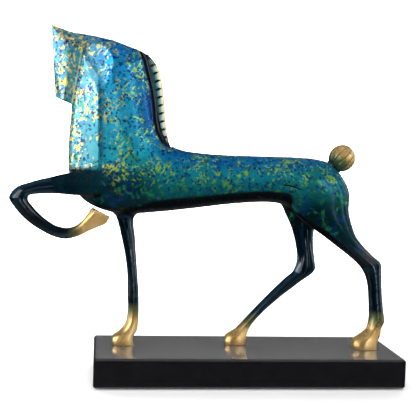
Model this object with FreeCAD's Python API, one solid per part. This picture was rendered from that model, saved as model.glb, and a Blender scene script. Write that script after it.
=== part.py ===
import FreeCAD, Part
import math
import os

# Striding horse statue in cast bronze on a polished stone slab.
# Millimetres. +Z is up, the head faces -X, the near side of the horse faces -Y.
# The origin is the centre of the felt's underside, which rests on the shelf.

# ---------------------------------------------------------------- base
SLAB_LENGTH = 320.0
SLAB_DEPTH = 110.0
SLAB_THICKNESS = 30.0
SLAB_CHAMFER = 2.0
FELT_THICKNESS = 1.5
FELT_INSET = 8.0
DECK = FELT_THICKNESS + SLAB_THICKNESS

# ---------------------------------------------------------------- mounting hardware, M6
STUD_R = 3.0
STUD_ENGAGEMENT = 11.0
STUD_HOLE_R = 3.25
SOCKET_CLEARANCE = 0.05
COUNTERBORE_R = 8.0
COUNTERBORE_DEPTH = 13.0
WASHER_R = 6.0
WASHER_THICKNESS = 1.6
WASHER_HOLE_R = 3.2
NUT_CORNER_R = 10.0 / math.sqrt(3.0)
NUT_HEIGHT = 5.0
STUD_TAIL = 1.5

# ---------------------------------------------------------------- castings
MIDPLANE = 5.0
WALL = 4.0
SPINE_INSET = 7.0
# how far the hollow stays behind the neck's planed front, from the chest upwards
FRONT_INSET = (0.0, 4.0, 9.0, 14.0)
RING_GAP = 0.3
RING_WALL = 2.5
RING_REACH = 7.0
DOWEL_R = 2.0
DOWEL_LENGTH = 20.0
CREST_THICKNESS = 8.0
CREST_GAP = 0.1
NOTCH_DEPTH = 1.4
NOTCH_HALF_WIDTH = 1.0
NOTCH_START = 1.2
NOTCH_MIDDLE = 4.0
NOTCH_END = 7.6
PIN_R = 1.5
PIN_LENGTH = 12.0
PIN_PLACES = (0.15, 0.5, 0.82)
END_GAP = 0.3
# half depth of the plates that trim the castings, wider than any of them
TRIM = 40.0

# ---------------------------------------------------------------- tail
TAIL_FOOT = (88.5, 225.0)
TAIL_AXIS = (0.67, 0.742)
COLLAR_R = 9.2
COLLAR_THICKNESS = 2.4
COLLAR_ROOT = 4.0
TAIL_STUD_R = 2.5
TAIL_STUD_LENGTH = 24.0
TAIL_STUD_SHARE = 0.45
# Knob outline: radius, height above the collar
KNOB_MERIDIAN = [(8.0, 0.0), (11.4, 3.5), (13.9, 9.0), (14.1, 14.0), (12.4, 19.5), (8.4, 24.0), (4.0, 26.2),
                 (0.0, 26.8)]

# Cross-sections of the castings. Each row is one section:
# (front or lower edge x, z), (rear or upper edge x, z), centre y, half width, fullness towards the front
TRUNK = [
    ((106.0, 193.0), (99.8, 212.5), MIDPLANE, 7.0, 0.0),
    ((105.0, 186.0), (95.5, 219.0), MIDPLANE, 12.0, 0.0),
    ((97.0, 180.5), (84.0, 230.0), MIDPLANE, 19.5, 0.0),
    ((80.0, 180.0), (70.0, 234.0), MIDPLANE, 24.0, 0.0),
    ((55.0, 181.5), (50.0, 235.2), MIDPLANE, 26.0, 0.0),
    ((26.0, 187.0), (24.0, 235.3), MIDPLANE, 25.5, 0.0),
    ((-16.0, 184.5), (-15.0, 235.5), MIDPLANE, 25.0, 0.0),
    ((-60.0, 178.5), (-52.0, 236.5), MIDPLANE, 25.5, 0.0),
    ((-95.0, 174.0), (-73.0, 239.5), MIDPLANE, 26.5, 0.0),
    ((-124.0, 171.5), (-83.0, 242.5), MIDPLANE, 27.0, 0.05),
    ((-152.0, 174.0), (-88.0, 247.5), MIDPLANE, 27.0, 0.1),
    ((-174.0, 184.5), (-91.0, 252.5), MIDPLANE, 26.0, 0.1),
    ((-188.0, 203.0), (-93.5, 258.0), MIDPLANE, 25.0, 0.1),
    ((-191.0, 224.0), (-96.0, 264.0), MIDPLANE, 24.0, 0.1),
]
NECK = [
    TRUNK[-1],
    ((-191.0, 243.0), (-98.5, 271.0), MIDPLANE, 23.5, 0.1),
    ((-190.0, 262.0), (-100.5, 280.0), MIDPLANE, 23.0, 0.1),
    ((-188.5, 282.0), (-102.5, 291.0), MIDPLANE, 22.5, 0.1),
    ((-186.0, 302.0), (-105.0, 303.0), MIDPLANE, 21.5, 0.1),
    ((-184.0, 322.0), (-109.0, 317.0), MIDPLANE, 20.0, 0.1),
    ((-186.0, 344.0), (-114.5, 332.0), MIDPLANE, 17.0, 0.1),
    ((-190.0, 368.0), (-119.0, 350.0), MIDPLANE, 12.5, 0.1),
]
# Head in front of the jaw line, from the face rearwards. Each row is one upright section:
# (lower x, z), (x, z under the cap), (x, z of the ridge), half width of the side, half width of the ridge
FACE = [
    ((-205.5, 289.3), (-210.7, 359.0), (-211.0, 362.6), 2.2, 1.2),
    ((-196.6, 285.7), (-190.5, 340.8), (-188.5, 355.7), 9.8, 1.4),
    ((-188.5, 282.4), (-179.6, 340.8), (-177.5, 354.6), 5.6, 1.4),
    ((-168.0, 283.0), (-165.0, 342.0), (-164.0, 353.0), 15.0, 6.0),
]
# Planed front of the neck: plan outline of the waste (x, distance from the mid-plane), its foot, its run in x and z
NECK_WASTE = [(-193.0, 4.0), (-193.0, 29.0), (-138.0, 29.0)]
NECK_WASTE_FOOT = 221.5
NECK_WASTE_RUN = (10.5, 150.0)
# Side outline of head and neck above the seam, used to trim both
PROFILE = [
    (-192.5, 210.0), (-191.2, 243.0), (-189.5, 267.0), (-188.4, 282.4), (-205.5, 289.3), (-208.3, 326.0),
    (-210.8, 362.0), (-190.3, 356.0), (-169.0, 353.4), (-147.3, 349.3), (-121.2, 340.5), (-112.0, 333.0),
    (-106.5, 315.0), (-103.5, 300.0), (-101.0, 285.0), (-99.0, 270.0), (-95.0, 258.0), (-80.0, 245.0),
    (-80.0, 210.0),
]
# Mane crest: outer edge and the floor of the slot it sits in, top to bottom
CREST_OUTER = [(-111.6, 336.5), (-103.4, 327.4), (-98.3, 316.6), (-95.1, 301.0), (-93.0, 285.3),
               (-91.7, 269.5), (-89.8, 257.6), (-86.5, 247.5)]
CREST_INNER = [(-118.0, 336.0), (-112.5, 322.0), (-109.0, 308.0), (-106.0, 294.0), (-104.0, 280.0),
               (-102.0, 268.0), (-99.0, 257.5), (-94.0, 247.5)]
NOTCH_COUNT = 12

NEAR_HIND = [
    ((48.0, 205.0), (90.0, 217.0), -6.0, 9.5, 0.0),
    ((45.0, 179.5), (100.0, 199.0), -8.0, 12.5, 0.0),
    ((58.0, 166.3), (104.0, 182.0), -8.0, 12.5, 0.0),
    ((74.0, 156.3), (108.0, 168.0), -7.5, 11.5, 0.0),
    ((91.0, 144.3), (114.5, 153.0), -7.0, 10.0, 0.0),
    ((104.0, 135.0), (122.5, 143.5), -6.5, 9.0, 0.0),
    ((115.5, 126.0), (134.0, 132.6), -6.0, 8.5, 0.0),
    ((122.0, 119.3), (142.8, 125.0), -6.0, 8.2, 0.0),
    ((126.0, 113.0), (143.8, 117.0), -6.0, 8.0, 0.0),
    ((129.3, 103.5), (144.4, 104.5), -6.0, 7.5, 0.0),
    ((131.5, 88.0), (146.0, 88.5), -5.5, 7.0, 0.0),
    ((132.7, 75.5), (147.8, 75.5), -5.0, 7.0, 0.0),
    ((132.8, 71.0), (148.5, 70.8), -5.0, 7.1, 0.0),
    ((132.8, 66.5), (149.1, 66.0), -5.0, 7.3, 0.0),
    ((132.8, 62.0), (149.6, 61.0), -5.0, 7.5, 0.0),
    ((130.8, 54.0), (146.6, 54.5), -5.0, 7.5, 0.0),
    ((124.5, 48.0), (145.6, 47.5), -5.0, 8.2, 0.0),
    ((116.8, 41.5), (142.8, 40.0), -5.0, 9.5, 0.0),
    ((116.0, 36.0), (142.0, 35.5), -5.0, 10.0, 0.0),
    ((118.5, DECK), (142.0, DECK), -5.0, 9.6, 0.0),
]
NEAR_HIND_SEAM = 11

FAR_HIND = [
    ((34.0, 202.0), (86.0, 208.0), 18.0, 11.0, 0.0),
    ((39.0, 181.0), (82.0, 180.0), 18.0, 12.5, 0.0),
    ((50.0, 157.0), (74.0, 158.0), 17.0, 10.5, 0.0),
    ((54.3, 141.0), (73.2, 142.5), 16.0, 9.0, 0.0),
    ((56.3, 126.0), (75.0, 127.0), 15.5, 8.5, 0.0),
    ((53.5, 114.0), (76.0, 114.5), 15.0, 8.0, 0.0),
    ((43.5, 104.0), (59.0, 100.0), 15.0, 7.3, 0.0),
    ((28.5, 89.0), (38.0, 83.2), 15.0, 6.8, 0.0),
    ((12.5, 72.0), (20.0, 66.6), 15.0, 6.5, 0.0),
    ((0.0, 58.0), (8.4, 53.2), 15.0, 7.0, 0.0),
    ((-9.5, 48.0), (4.2, 44.8), 15.0, 8.0, 0.0),
    ((-19.0, 41.0), (2.9, 39.5), 15.0, 9.5, 0.0),
    ((-20.3, 36.0), (2.4, 35.5), 15.0, 10.0, 0.0),
    ((-18.5, DECK), (2.2, DECK), 15.0, 9.6, 0.0),
]
FAR_HIND_SEAM = 8

STANDING_FORE = [
    ((-154.0, 205.0), (-108.0, 205.0), 15.0, 11.0, 0.0),
    ((-147.0, 182.0), (-115.0, 182.0), 14.0, 11.0, 0.0),
    ((-140.5, 168.0), (-120.9, 168.5), 13.0, 10.0, 0.0),
    ((-133.3, 143.0), (-119.4, 143.0), 11.5, 8.5, 0.0),
    ((-127.7, 114.5), (-116.8, 114.0), 10.5, 7.5, 0.0),
    ((-125.9, 82.5), (-114.3, 82.5), 10.0, 6.5, 0.0),
    ((-125.4, 66.0), (-113.9, 66.0), 10.0, 6.5, 0.0),
    ((-128.0, 53.5), (-114.2, 54.0), 10.0, 7.5, 0.0),
    ((-134.0, 46.0), (-115.6, 46.5), 10.0, 8.5, 0.0),
    ((-140.4, 40.7), (-119.0, 40.8), 10.0, 9.5, 0.0),
    ((-141.2, 36.0), (-119.2, 35.5), 10.0, 10.0, 0.0),
    ((-139.2, DECK), (-118.4, DECK), 10.0, 9.5, 0.0),
]
STANDING_FORE_SEAM = 5

RAISED_FORE = [
    ((-162.0, 215.0), (-162.0, 197.0), -3.0, 7.0, 0.0),
    ((-177.0, 214.5), (-173.0, 191.5), -6.5, 10.0, 0.0),
    ((-190.5, 212.2), (-184.5, 190.0), -8.0, 10.5, 0.0),
    ((-208.0, 207.6), (-202.0, 191.0), -8.5, 9.5, 0.0),
    ((-228.0, 202.0), (-221.0, 190.0), -8.0, 8.5, 0.0),
    ((-243.0, 195.5), (-229.5, 187.5), -8.0, 8.0, 0.0),
    ((-249.2, 186.5), (-229.8, 183.5), -8.0, 7.5, 0.0),
    ((-243.2, 176.0), (-227.0, 179.5), -8.0, 7.0, 0.0),
    ((-231.0, 163.0), (-219.5, 171.5), -8.0, 6.5, 0.0),
    ((-217.6, 153.8), (-209.0, 162.5), -8.0, 6.5, 0.0),
    ((-204.2, 147.2), (-200.5, 157.8), -8.0, 6.5, 0.0),
    ((-192.0, 144.7), (-191.8, 156.1), -8.0, 7.0, 0.0),
    ((-179.5, 147.5), (-182.5, 158.0), -8.0, 7.5, 0.0),
    ((-167.0, 154.0), (-174.0, 165.0), -8.0, 8.5, 0.0),
    ((-157.0, 158.4), (-169.3, 171.5), -8.0, 9.3, 0.0),
    ((-150.9, 161.3), (-167.2, 175.0), -8.0, 9.6, 0.0),
    ((-146.7, 168.6), (-165.6, 177.2), -8.0, 9.0, 0.0),
]
RAISED_FORE_SEAM = 8
LIMBS = [
    ("near_hind_leg", NEAR_HIND, NEAR_HIND_SEAM),
    ("far_hind_leg", FAR_HIND, FAR_HIND_SEAM),
    ("standing_foreleg", STANDING_FORE, STANDING_FORE_SEAM),
    ("raised_foreleg", RAISED_FORE, RAISED_FORE_SEAM),
]
STUD_POSITIONS = [(132.0, -5.0), (-7.0, 15.0), (-128.0, 10.0)]
RING_POINTS = 16
SECTION_STEP = 6.0
# overrun of holes past the faces they break
THROUGH = 1.0
V = FreeCAD.Vector
UP = V(0, 0, 1)


def section(row, inset=0.0):
    """Points of the closed oval standing on the line between the row's two edge points."""
    (ax, az), (bx, bz), y, half_width, fullness = row
    length = math.hypot(bx - ax, bz - az)
    ux = (bx - ax) / length
    uz = (bz - az) / length
    cx = 0.5 * (ax + bx)
    cz = 0.5 * (az + bz)
    half = 0.5 * length - inset
    width = half_width - inset
    points = []
    for i in range(RING_POINTS):
        angle = 2.0 * math.pi * i / RING_POINTS
        along = -half * math.cos(angle)
        side = math.copysign(abs(math.sin(angle)) ** 0.85, math.sin(angle))
        across = width * side * (1.0 + fullness * math.cos(angle))
        points.append(V(cx + ux * along, y + across, cz + uz * along))
    return points + points[:1]


def drawn_in(row, front, rear):
    """The same section with its front and rear edges drawn in."""
    (ax, az), (bx, bz), y, half_width, fullness = row
    length = math.hypot(bx - ax, bz - az)
    ux = (bx - ax) / length
    uz = (bz - az) / length
    front_edge = (ax + front * ux, az + front * uz)
    rear_edge = (bx - rear * ux, bz - rear * uz)
    return (front_edge, rear_edge, y, half_width, fullness)


def numbers(row):
    (ax, az), (bx, bz), y, half_width, fullness = row
    return [ax, az, bx, bz, y, half_width, fullness]


def evened(rows):
    """The same sections with more drawn in between, about SECTION_STEP apart, along a smooth path."""
    values = [numbers(row) for row in rows]
    gaps = [0.5 * (math.dist(p[:2], q[:2]) + math.dist(p[2:4], q[2:4])) for p, q in zip(values, values[1:])]
    slopes = [[(b - a) / gap for a, b in zip(p, q)] for p, q, gap in zip(values, values[1:], gaps)]
    tangents = [slopes[0]]
    for i in range(1, len(slopes)):
        before, after = gaps[i - 1], gaps[i]
        tangents.append([(m * after + n * before) / (before + after) for m, n in zip(slopes[i - 1], slopes[i])])
    tangents.append(slopes[-1])
    result = []
    for i, gap in enumerate(gaps):
        count = max(1, round(gap / SECTION_STEP))
        for k in range(count):
            s = k / count
            h0 = (1 + 2 * s) * (1 - s) ** 2
            h1 = s * (1 - s) ** 2 * gap
            h2 = s * s * (3 - 2 * s)
            h3 = s * s * (s - 1) * gap
            row = [h0 * p + h1 * m + h2 * q + h3 * n
                   for p, m, q, n in zip(values[i], tangents[i], values[i + 1], tangents[i + 1])]
            result.append(((row[0], row[1]), (row[2], row[3]), row[4], row[5], row[6]))
    return result + [rows[-1]]


def casting(rows, inset=0.0):
    """Smooth solid through a list of sections, closed by a flat face at each end."""
    skin = Part.BSplineSurface()
    skin.interpolate([section(row, inset) for row in evened(rows)])
    first, last = skin.bounds()[:2]
    ends = [Part.Face(Part.Wire([skin.uIso(u).toShape()])) for u in (first, last)]
    shell = Part.Shell([skin.toShape()] + ends)
    shell.sewShape()
    solid = Part.Solid(shell)
    if solid.Volume < 0.0:
        solid.reverse()
    return solid


def plate(points, y_low, y_high):
    """Flat solid with the given x, z outline between two y values."""
    wire = Part.makePolygon([V(x, y_low, z) for x, z in points] + [V(points[0][0], y_low, points[0][1])])
    return Part.Face(wire).extrude(V(0, y_high - y_low, 0))


def rod(radius, start, direction, length):
    return Part.makeCylinder(radius, length, start, direction)


def seam_frame(row):
    """Centre of a section and the direction square to it, pointing back up the limb."""
    (ax, az), (bx, bz), y, half_width, fullness = row
    centre = V(0.5 * (ax + bx), y, 0.5 * (az + bz))
    normal = V(-(bz - az), 0, bx - ax)
    normal.normalize()
    return centre, normal


def dowel_at(rows, seam, radius, length):
    """Rod centred on a seam, along the limb."""
    centre, normal = seam_frame(rows[seam])
    return rod(radius, centre - normal * (0.5 * length), normal, length)


def limb(rows, seam, keep_clear):
    """Upper and lower castings of one leg, with sockets for the dowel in the seam."""
    socket = dowel_at(rows, seam, DOWEL_R + SOCKET_CLEARANCE, DOWEL_LENGTH + 2 * END_GAP)
    upper = casting(rows[:seam + 1]).cut(keep_clear).cut(socket)
    lower = casting(rows[seam:]).cut(socket)
    return biggest(upper), biggest(lower)


def biggest(shape):
    """The largest solid of a boolean result."""
    return max(shape.Solids, key=lambda solid: solid.Volume)


def between(points, t):
    """Point at fraction t along a polyline, with its unit tangent."""
    lengths = [math.dist(a, b) for a, b in zip(points, points[1:])]
    target = t * sum(lengths)
    for (a, b), step in zip(zip(points, points[1:]), lengths):
        if target <= step:
            break
        target -= step
    f = min(1.0, target / step)
    tangent = ((b[0] - a[0]) / step, (b[1] - a[1]) / step)
    return (a[0] + f * (b[0] - a[0]), a[1] + f * (b[1] - a[1])), tangent


def face_section(lower, upper, ridge, half_width, ridge_width):
    """Closed upright outline of the head at one place."""
    corners = []
    for (x, z), y in ((lower, half_width), (upper, half_width), (ridge, ridge_width)):
        corners.append(V(x, MIDPLANE + y, z))
    for (x, z), y in ((ridge, ridge_width), (upper, half_width), (lower, half_width)):
        corners.append(V(x, MIDPLANE - y, z))
    return corners


def faceted(rings):
    """Solid with flat three-sided faces through equal rings of corners."""
    triangles = []
    for before, after in zip(rings, rings[1:]):
        for i in range(len(before)):
            k = (i + 1) % len(before)
            triangles.append((before[i], before[k], after[k]))
            triangles.append((before[i], after[k], after[i]))
    for ring in (rings[0], rings[-1]):
        for i in range(1, len(ring) - 1):
            triangles.append((ring[0], ring[i], ring[i + 1]))
    shell = Part.Shell([Part.Face(Part.makePolygon([a, b, c, a])) for a, b, c in triangles])
    shell.sewShape()
    solid = Part.Solid(shell)
    if solid.Volume < 0.0:
        solid.reverse()
    return solid


def plane_cutter(side):
    """Waste planed off one side of the neck's front; side is 1 for the far side and -1 for the near side."""
    corners = [V(x, MIDPLANE + side * y, NECK_WASTE_FOOT) for x, y in NECK_WASTE]
    outline = Part.makePolygon(corners + corners[:1])
    return Part.Face(outline).extrude(V(NECK_WASTE_RUN[0], 0, NECK_WASTE_RUN[1]))


def crest_cut(t, side):
    """Spindle-shaped waste of one notch in one face of the crest."""
    (x, z), (tx, tz) = between(CREST_OUTER, t)
    face_y = MIDPLANE + side * CREST_THICKNESS / 2
    spindle = []
    for inward, along_edge in ((NOTCH_START, 0.0), (NOTCH_MIDDLE, NOTCH_HALF_WIDTH),
                               (NOTCH_END, 0.0), (NOTCH_MIDDLE, -NOTCH_HALF_WIDTH)):
        spindle.append((x + inward * tz + along_edge * tx, z - inward * tx + along_edge * tz))
    return plate(spindle, face_y - NOTCH_DEPTH, face_y + NOTCH_DEPTH)


nodes = {}

# ---------------------------------------------------------------- horse, outer and inner forms
face = faceted([face_section(*row) for row in FACE])
profile = plate(PROFILE, MIDPLANE - TRIM, MIDPLANE + TRIM)
trunk_outer = biggest(casting(TRUNK).cut(plane_cutter(1)).cut(plane_cutter(-1)))
neck_outer = casting(NECK).cut(plane_cutter(1)).cut(plane_cutter(-1))
head_outer = biggest(neck_outer.fuse(face).common(profile))

core_rows = list(TRUNK[2:9])
for front, row in zip(FRONT_INSET, TRUNK[9:13]):
    core_rows.append(drawn_in(row, front, SPINE_INSET))
for row in TRUNK[13:] + NECK[1:6]:
    core_rows.append(drawn_in(row, FRONT_INSET[-1], SPINE_INSET))
core = casting(core_rows, WALL)

# ---------------------------------------------------------------- mane crest in its slot
half_crest = CREST_THICKNESS / 2
half_slot = half_crest + CREST_GAP
crest = plate(CREST_OUTER + CREST_INNER[::-1], MIDPLANE - half_crest, MIDPLANE + half_crest)
mouth = [(-70.0, CREST_INNER[-1][1]), (-70.0, 345.0), (-100.0, 345.0)]
slot = plate(CREST_INNER + mouth, MIDPLANE - half_slot, MIDPLANE + half_slot)
for i in range(NOTCH_COUNT):
    t = (i + 0.5) / NOTCH_COUNT
    crest = crest.cut(crest_cut(t, 1)).cut(crest_cut(t, -1))
pins = []
pin_sockets = []
for t in PIN_PLACES:
    (x, z), (tx, tz) = between(CREST_INNER, t)
    inward = V(tz, 0, -tx)
    start = V(x, MIDPLANE, z) - inward * (PIN_LENGTH / 2)
    pins.append(rod(PIN_R, start, inward, PIN_LENGTH))
    socket_start = start - inward * END_GAP
    pin_sockets.append(rod(PIN_R + SOCKET_CLEARANCE, socket_start, inward, PIN_LENGTH + 2 * END_GAP))
pin_sockets = Part.makeCompound(pin_sockets)
nodes["mane_crest"] = crest.cut(pin_sockets)
nodes["crest_pins"] = Part.makeCompound(pins)

# ---------------------------------------------------------------- tail knob, collar and stud
foot = V(TAIL_FOOT[0], MIDPLANE, TAIL_FOOT[1])
axis = V(TAIL_AXIS[0], 0, TAIL_AXIS[1])
axis.normalize()
tail_start = foot - axis * (TAIL_STUD_SHARE * TAIL_STUD_LENGTH)
tail_stud = rod(TAIL_STUD_R, tail_start, axis, TAIL_STUD_LENGTH)
tail_socket_start = tail_start - axis * END_GAP
tail_socket = rod(TAIL_STUD_R + SOCKET_CLEARANCE, tail_socket_start, axis, TAIL_STUD_LENGTH + 2 * END_GAP)
collar = rod(COLLAR_R, foot - axis * COLLAR_ROOT, axis, COLLAR_ROOT + COLLAR_THICKNESS)
meridian = Part.BSplineCurve()
meridian.interpolate([V(r, 0, s) for r, s in KNOB_MERIDIAN])
top = KNOB_MERIDIAN[-1][1]
edges = [
    meridian.toShape(),
    Part.makeLine(V(0, 0, top), V(0, 0, 0)),
    Part.makeLine(V(0, 0, 0), V(KNOB_MERIDIAN[0][0], 0, 0)),
]
knob = Part.Face(Part.Wire(Part.__sortEdges__(edges))).revolve(V(0, 0, 0), V(0, 0, 1), 360)
knob.Placement = FreeCAD.Placement(foot + axis * COLLAR_THICKNESS, FreeCAD.Rotation(V(0, 0, 1), axis))
nodes["tail_knob"] = biggest(knob.cut(tail_socket))
nodes["tail_collar"] = biggest(collar.cut(trunk_outer).cut(tail_socket))
nodes["tail_stud"] = tail_stud

# ---------------------------------------------------------------- the two hollow castings and their ring
seam_centre, seam_normal = seam_frame(TRUNK[-1])
trunk = trunk_outer.cut(core).cut(slot).cut(tail_socket).cut(pin_sockets)
head = head_outer.cut(core).cut(slot).cut(pin_sockets)
nodes["trunk_casting"] = biggest(trunk)
nodes["head_and_neck_casting"] = biggest(head)
(ax, az), (bx, bz) = TRUNK[-1][:2]
across = V(bx - ax, 0, bz - az).normalize() * (2 * TRIM)
reach = V(seam_normal) * RING_REACH
corners = []
for side, end in ((1, 1), (1, -1), (-1, -1), (-1, 1)):
    corners.append(seam_centre + across * side + reach * end)
band = plate([(p.x, p.z) for p in corners], MIDPLANE - TRIM, MIDPLANE + TRIM)
ring = casting(core_rows, WALL + RING_GAP).cut(casting(core_rows, WALL + RING_GAP + RING_WALL)).common(band)
nodes["neck_backing_ring"] = biggest(ring)

# ---------------------------------------------------------------- legs
stud_sockets = []
studs = []
washers = []
nuts = []
slab_holes = []
counterbore_z = FELT_THICKNESS + COUNTERBORE_DEPTH
washer_z = counterbore_z - WASHER_THICKNESS
nut_z = washer_z - NUT_HEIGHT
stud_z = nut_z - STUD_TAIL
socket_r = STUD_R + SOCKET_CLEARANCE
for x, y in STUD_POSITIONS:
    studs.append(rod(STUD_R, V(x, y, stud_z), UP, DECK + STUD_ENGAGEMENT - stud_z))
    stud_sockets.append(rod(socket_r, V(x, y, DECK - THROUGH), UP, THROUGH + STUD_ENGAGEMENT + END_GAP))
    slab_holes.append(rod(STUD_HOLE_R, V(x, y, 0), UP, DECK + THROUGH))
    slab_holes.append(rod(COUNTERBORE_R, V(x, y, 0), UP, counterbore_z))
    washer = rod(WASHER_R, V(x, y, washer_z), UP, WASHER_THICKNESS)
    washers.append(washer.cut(rod(WASHER_HOLE_R, V(x, y, nut_z), UP, NUT_HEIGHT + WASHER_THICKNESS + THROUGH)))
    hexagon = []
    for k in range(7):
        angle = k * math.pi / 3
        hexagon.append(V(x + NUT_CORNER_R * math.cos(angle), y + NUT_CORNER_R * math.sin(angle), nut_z))
    nut = Part.Face(Part.makePolygon(hexagon)).extrude(V(0, 0, NUT_HEIGHT))
    nuts.append(nut.cut(rod(socket_r, V(x, y, 0), UP, washer_z + THROUGH)))
stud_sockets = Part.makeCompound(stud_sockets)

dowels = []
for name, rows, seam in LIMBS:
    upper, lower = limb(rows, seam, trunk_outer)
    nodes[name + "_upper"] = upper
    nodes[name + "_lower"] = biggest(lower.cut(stud_sockets))
    dowels.append(dowel_at(rows, seam, DOWEL_R, DOWEL_LENGTH))
nodes["leg_dowels"] = Part.makeCompound(dowels)
nodes["mounting_studs"] = Part.makeCompound(studs)
nodes["mounting_washers"] = Part.makeCompound(washers)
nodes["mounting_nuts"] = Part.makeCompound(nuts)

# ---------------------------------------------------------------- slab and felt
slab = Part.makeBox(SLAB_LENGTH, SLAB_DEPTH, SLAB_THICKNESS,
                    V(-SLAB_LENGTH / 2, -SLAB_DEPTH / 2, FELT_THICKNESS))
slab = slab.makeChamfer(SLAB_CHAMFER, slab.Edges)
nodes["stone_slab"] = slab.cut(Part.makeCompound(slab_holes))
nodes["felt_sheet"] = Part.makeBox(SLAB_LENGTH - 2 * FELT_INSET, SLAB_DEPTH - 2 * FELT_INSET, FELT_THICKNESS,
                                   V(FELT_INSET - SLAB_LENGTH / 2, FELT_INSET - SLAB_DEPTH / 2, 0))

os.makedirs("parts", exist_ok=True)
for name, shape in sorted(nodes.items()):
    box = shape.BoundBox
    print("%-24s solids %d valid %s volume %.0f x %.1f..%.1f y %.1f..%.1f z %.1f..%.1f" % (
        name, len(shape.Solids), shape.isValid(), shape.Volume,
        box.XMin, box.XMax, box.YMin, box.YMax, box.ZMin, box.ZMax))
    shape.exportStep("parts/" + name + ".step")
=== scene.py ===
import math

import bmesh
import bpy
import numpy as np
import openvdb as vdb
from mathutils import Matrix, Vector


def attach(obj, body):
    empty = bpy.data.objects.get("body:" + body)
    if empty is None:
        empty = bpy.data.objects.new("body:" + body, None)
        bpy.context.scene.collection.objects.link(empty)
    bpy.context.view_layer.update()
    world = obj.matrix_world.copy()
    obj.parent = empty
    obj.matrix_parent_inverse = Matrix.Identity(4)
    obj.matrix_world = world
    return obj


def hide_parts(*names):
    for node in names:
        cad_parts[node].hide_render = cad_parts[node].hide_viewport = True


# Striding bronze horse on a polished stone slab. The tables are in millimetres in the frame's axes:
# +Z is up, the head faces -X and the near side faces -Y. Everything built from them is in metres.
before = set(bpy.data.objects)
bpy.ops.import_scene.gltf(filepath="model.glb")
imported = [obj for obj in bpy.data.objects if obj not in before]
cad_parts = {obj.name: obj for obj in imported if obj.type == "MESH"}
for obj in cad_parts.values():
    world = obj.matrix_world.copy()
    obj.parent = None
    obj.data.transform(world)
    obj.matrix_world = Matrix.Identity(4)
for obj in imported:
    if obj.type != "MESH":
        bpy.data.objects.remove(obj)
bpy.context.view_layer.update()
MM = 0.001
VOXEL = 0.9    # cell of the block that the body is cut from
SHIN_CELL = 0.62    # cell of the shins' blocks as a share of the body's
BAND = 12.0    # how far from the surface the fields reach
ROW_STEP = 2.0    # distance between the drawn sections of a loft
HALF_RING = 44    # points on each side of a section

# ------------------------------------------------------------------------------------------------
# Tables of the castings
# ------------------------------------------------------------------------------------------------
MID = 5.0    # y of the body's mid-plane
DECK = 31.5    # height of the slab's top
OVAL_POWER = 0.425    # squareness of the sections, 0.5 for a true oval
FACET_SHARE = 0.85    # how far a leg's facet value is carried out

# front or lower edge x, z, rear or upper edge x, z, centre y, half width
TRUNK = [
    (109, 196, 103.5, 206, MID, 3),
    (107.5, 191, 100.5, 213, MID, 9),
    (104, 185, 94, 221, MID, 15),
    (97, 180.5, 84, 230, MID, 20.5),
    (80, 180, 70, 234, MID, 24),
    (55, 181.5, 50, 235.4, MID, 26),
    (26, 186.5, 24, 235.5, MID, 25.5),
    (-16, 184.5, -15, 235.4, MID, 25),
    (-60, 178.5, -52, 236.5, MID, 25.5),
    (-95, 174, -73, 239, MID, 26.5),
    (-124, 171.5, -83, 242.5, MID, 27),
    (-152, 174, -88, 247.5, MID, 27),
    (-174, 184.5, -91, 252.5, MID, 26),
    (-188, 203, -93.5, 258, MID, 25),
    (-191, 224, -96, 264, MID, 24),
    (-191, 243, -98.5, 271, MID, 23.5),
    (-190, 262, -100.5, 280, MID, 23),
    (-189.5, 282, -102.5, 291, MID, 22.5),
    (-192, 302, -105, 303, MID, 21.5),
    (-194, 322, -108, 317, MID, 20),
    (-196, 344, -111, 330, MID, 18.5),
    (-196, 372, -112, 352, MID, 16),
]
NECK_SEAM = ((-191, 224), (-96, 264))

# Legs: the same, then facet (0 oval, 1 planed), ridge (-1 front to 1 rear), groove depth, rear width
NEAR_HIND = [
    (50, 205, 90, 215, -6, 9.5, 0, -0.1, 0, 0.3),
    (45, 179.5, 100, 199, -8, 12.5, 0, -0.1, 0, 0.3),
    (58, 166.3, 104, 182, -8, 12.5, 0, -0.1, 0, 0.3),
    (74, 156.3, 108, 168, -7.5, 11.5, 0.1, -0.1, 0, 0.3),
    (91, 144.3, 114.5, 153, -7, 10, 0.3, -0.1, 0.05, 0.4),
    (104, 135, 122.5, 143.5, -6.5, 9, 0.5, -0.1, 0.08, 0.4),
    (115.5, 126, 134, 132.6, -6, 8.5, 0.7, -0.05, 0.1, 0.4),
    (122, 119.3, 142.8, 125, -6, 8.2, 0.85, 0, 0.14, 0.45),
    (126, 113, 143.8, 117, -6, 8, 0.9, 0, 0.16, 0.45),
    (129.3, 103.5, 144.4, 104.5, -6, 7.5, 0.95, 0, 0.18, 0.5),
    (131.5, 88, 146, 88.5, -5.5, 7, 0.95, 0, 0.18, 0.5),
    (132.7, 75.5, 147.8, 75.5, -5, 7, 0.95, 0, 0.18, 0.5),
    (132.8, 62, 149.6, 61, -5, 7.5, 0.95, -0.05, 0.16, 0.5),
    (130.8, 54, 146.6, 54.5, -5, 7.5, 0.95, -0.15, 0.12, 0.55),
    (124.5, 48, 145.6, 47.5, -5, 8.2, 0.95, -0.3, 0.06, 0.6),
    (116.8, 41.5, 142.8, 40, -5, 9.5, 0.95, -0.45, 0, 0.65),
    (116, 36, 142, 35.5, -5, 10, 0.95, -0.55, 0, 0.7),
    (118.5, DECK, 142, DECK, -5, 9.6, 0.95, -0.6, 0, 0.7),
]
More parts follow.
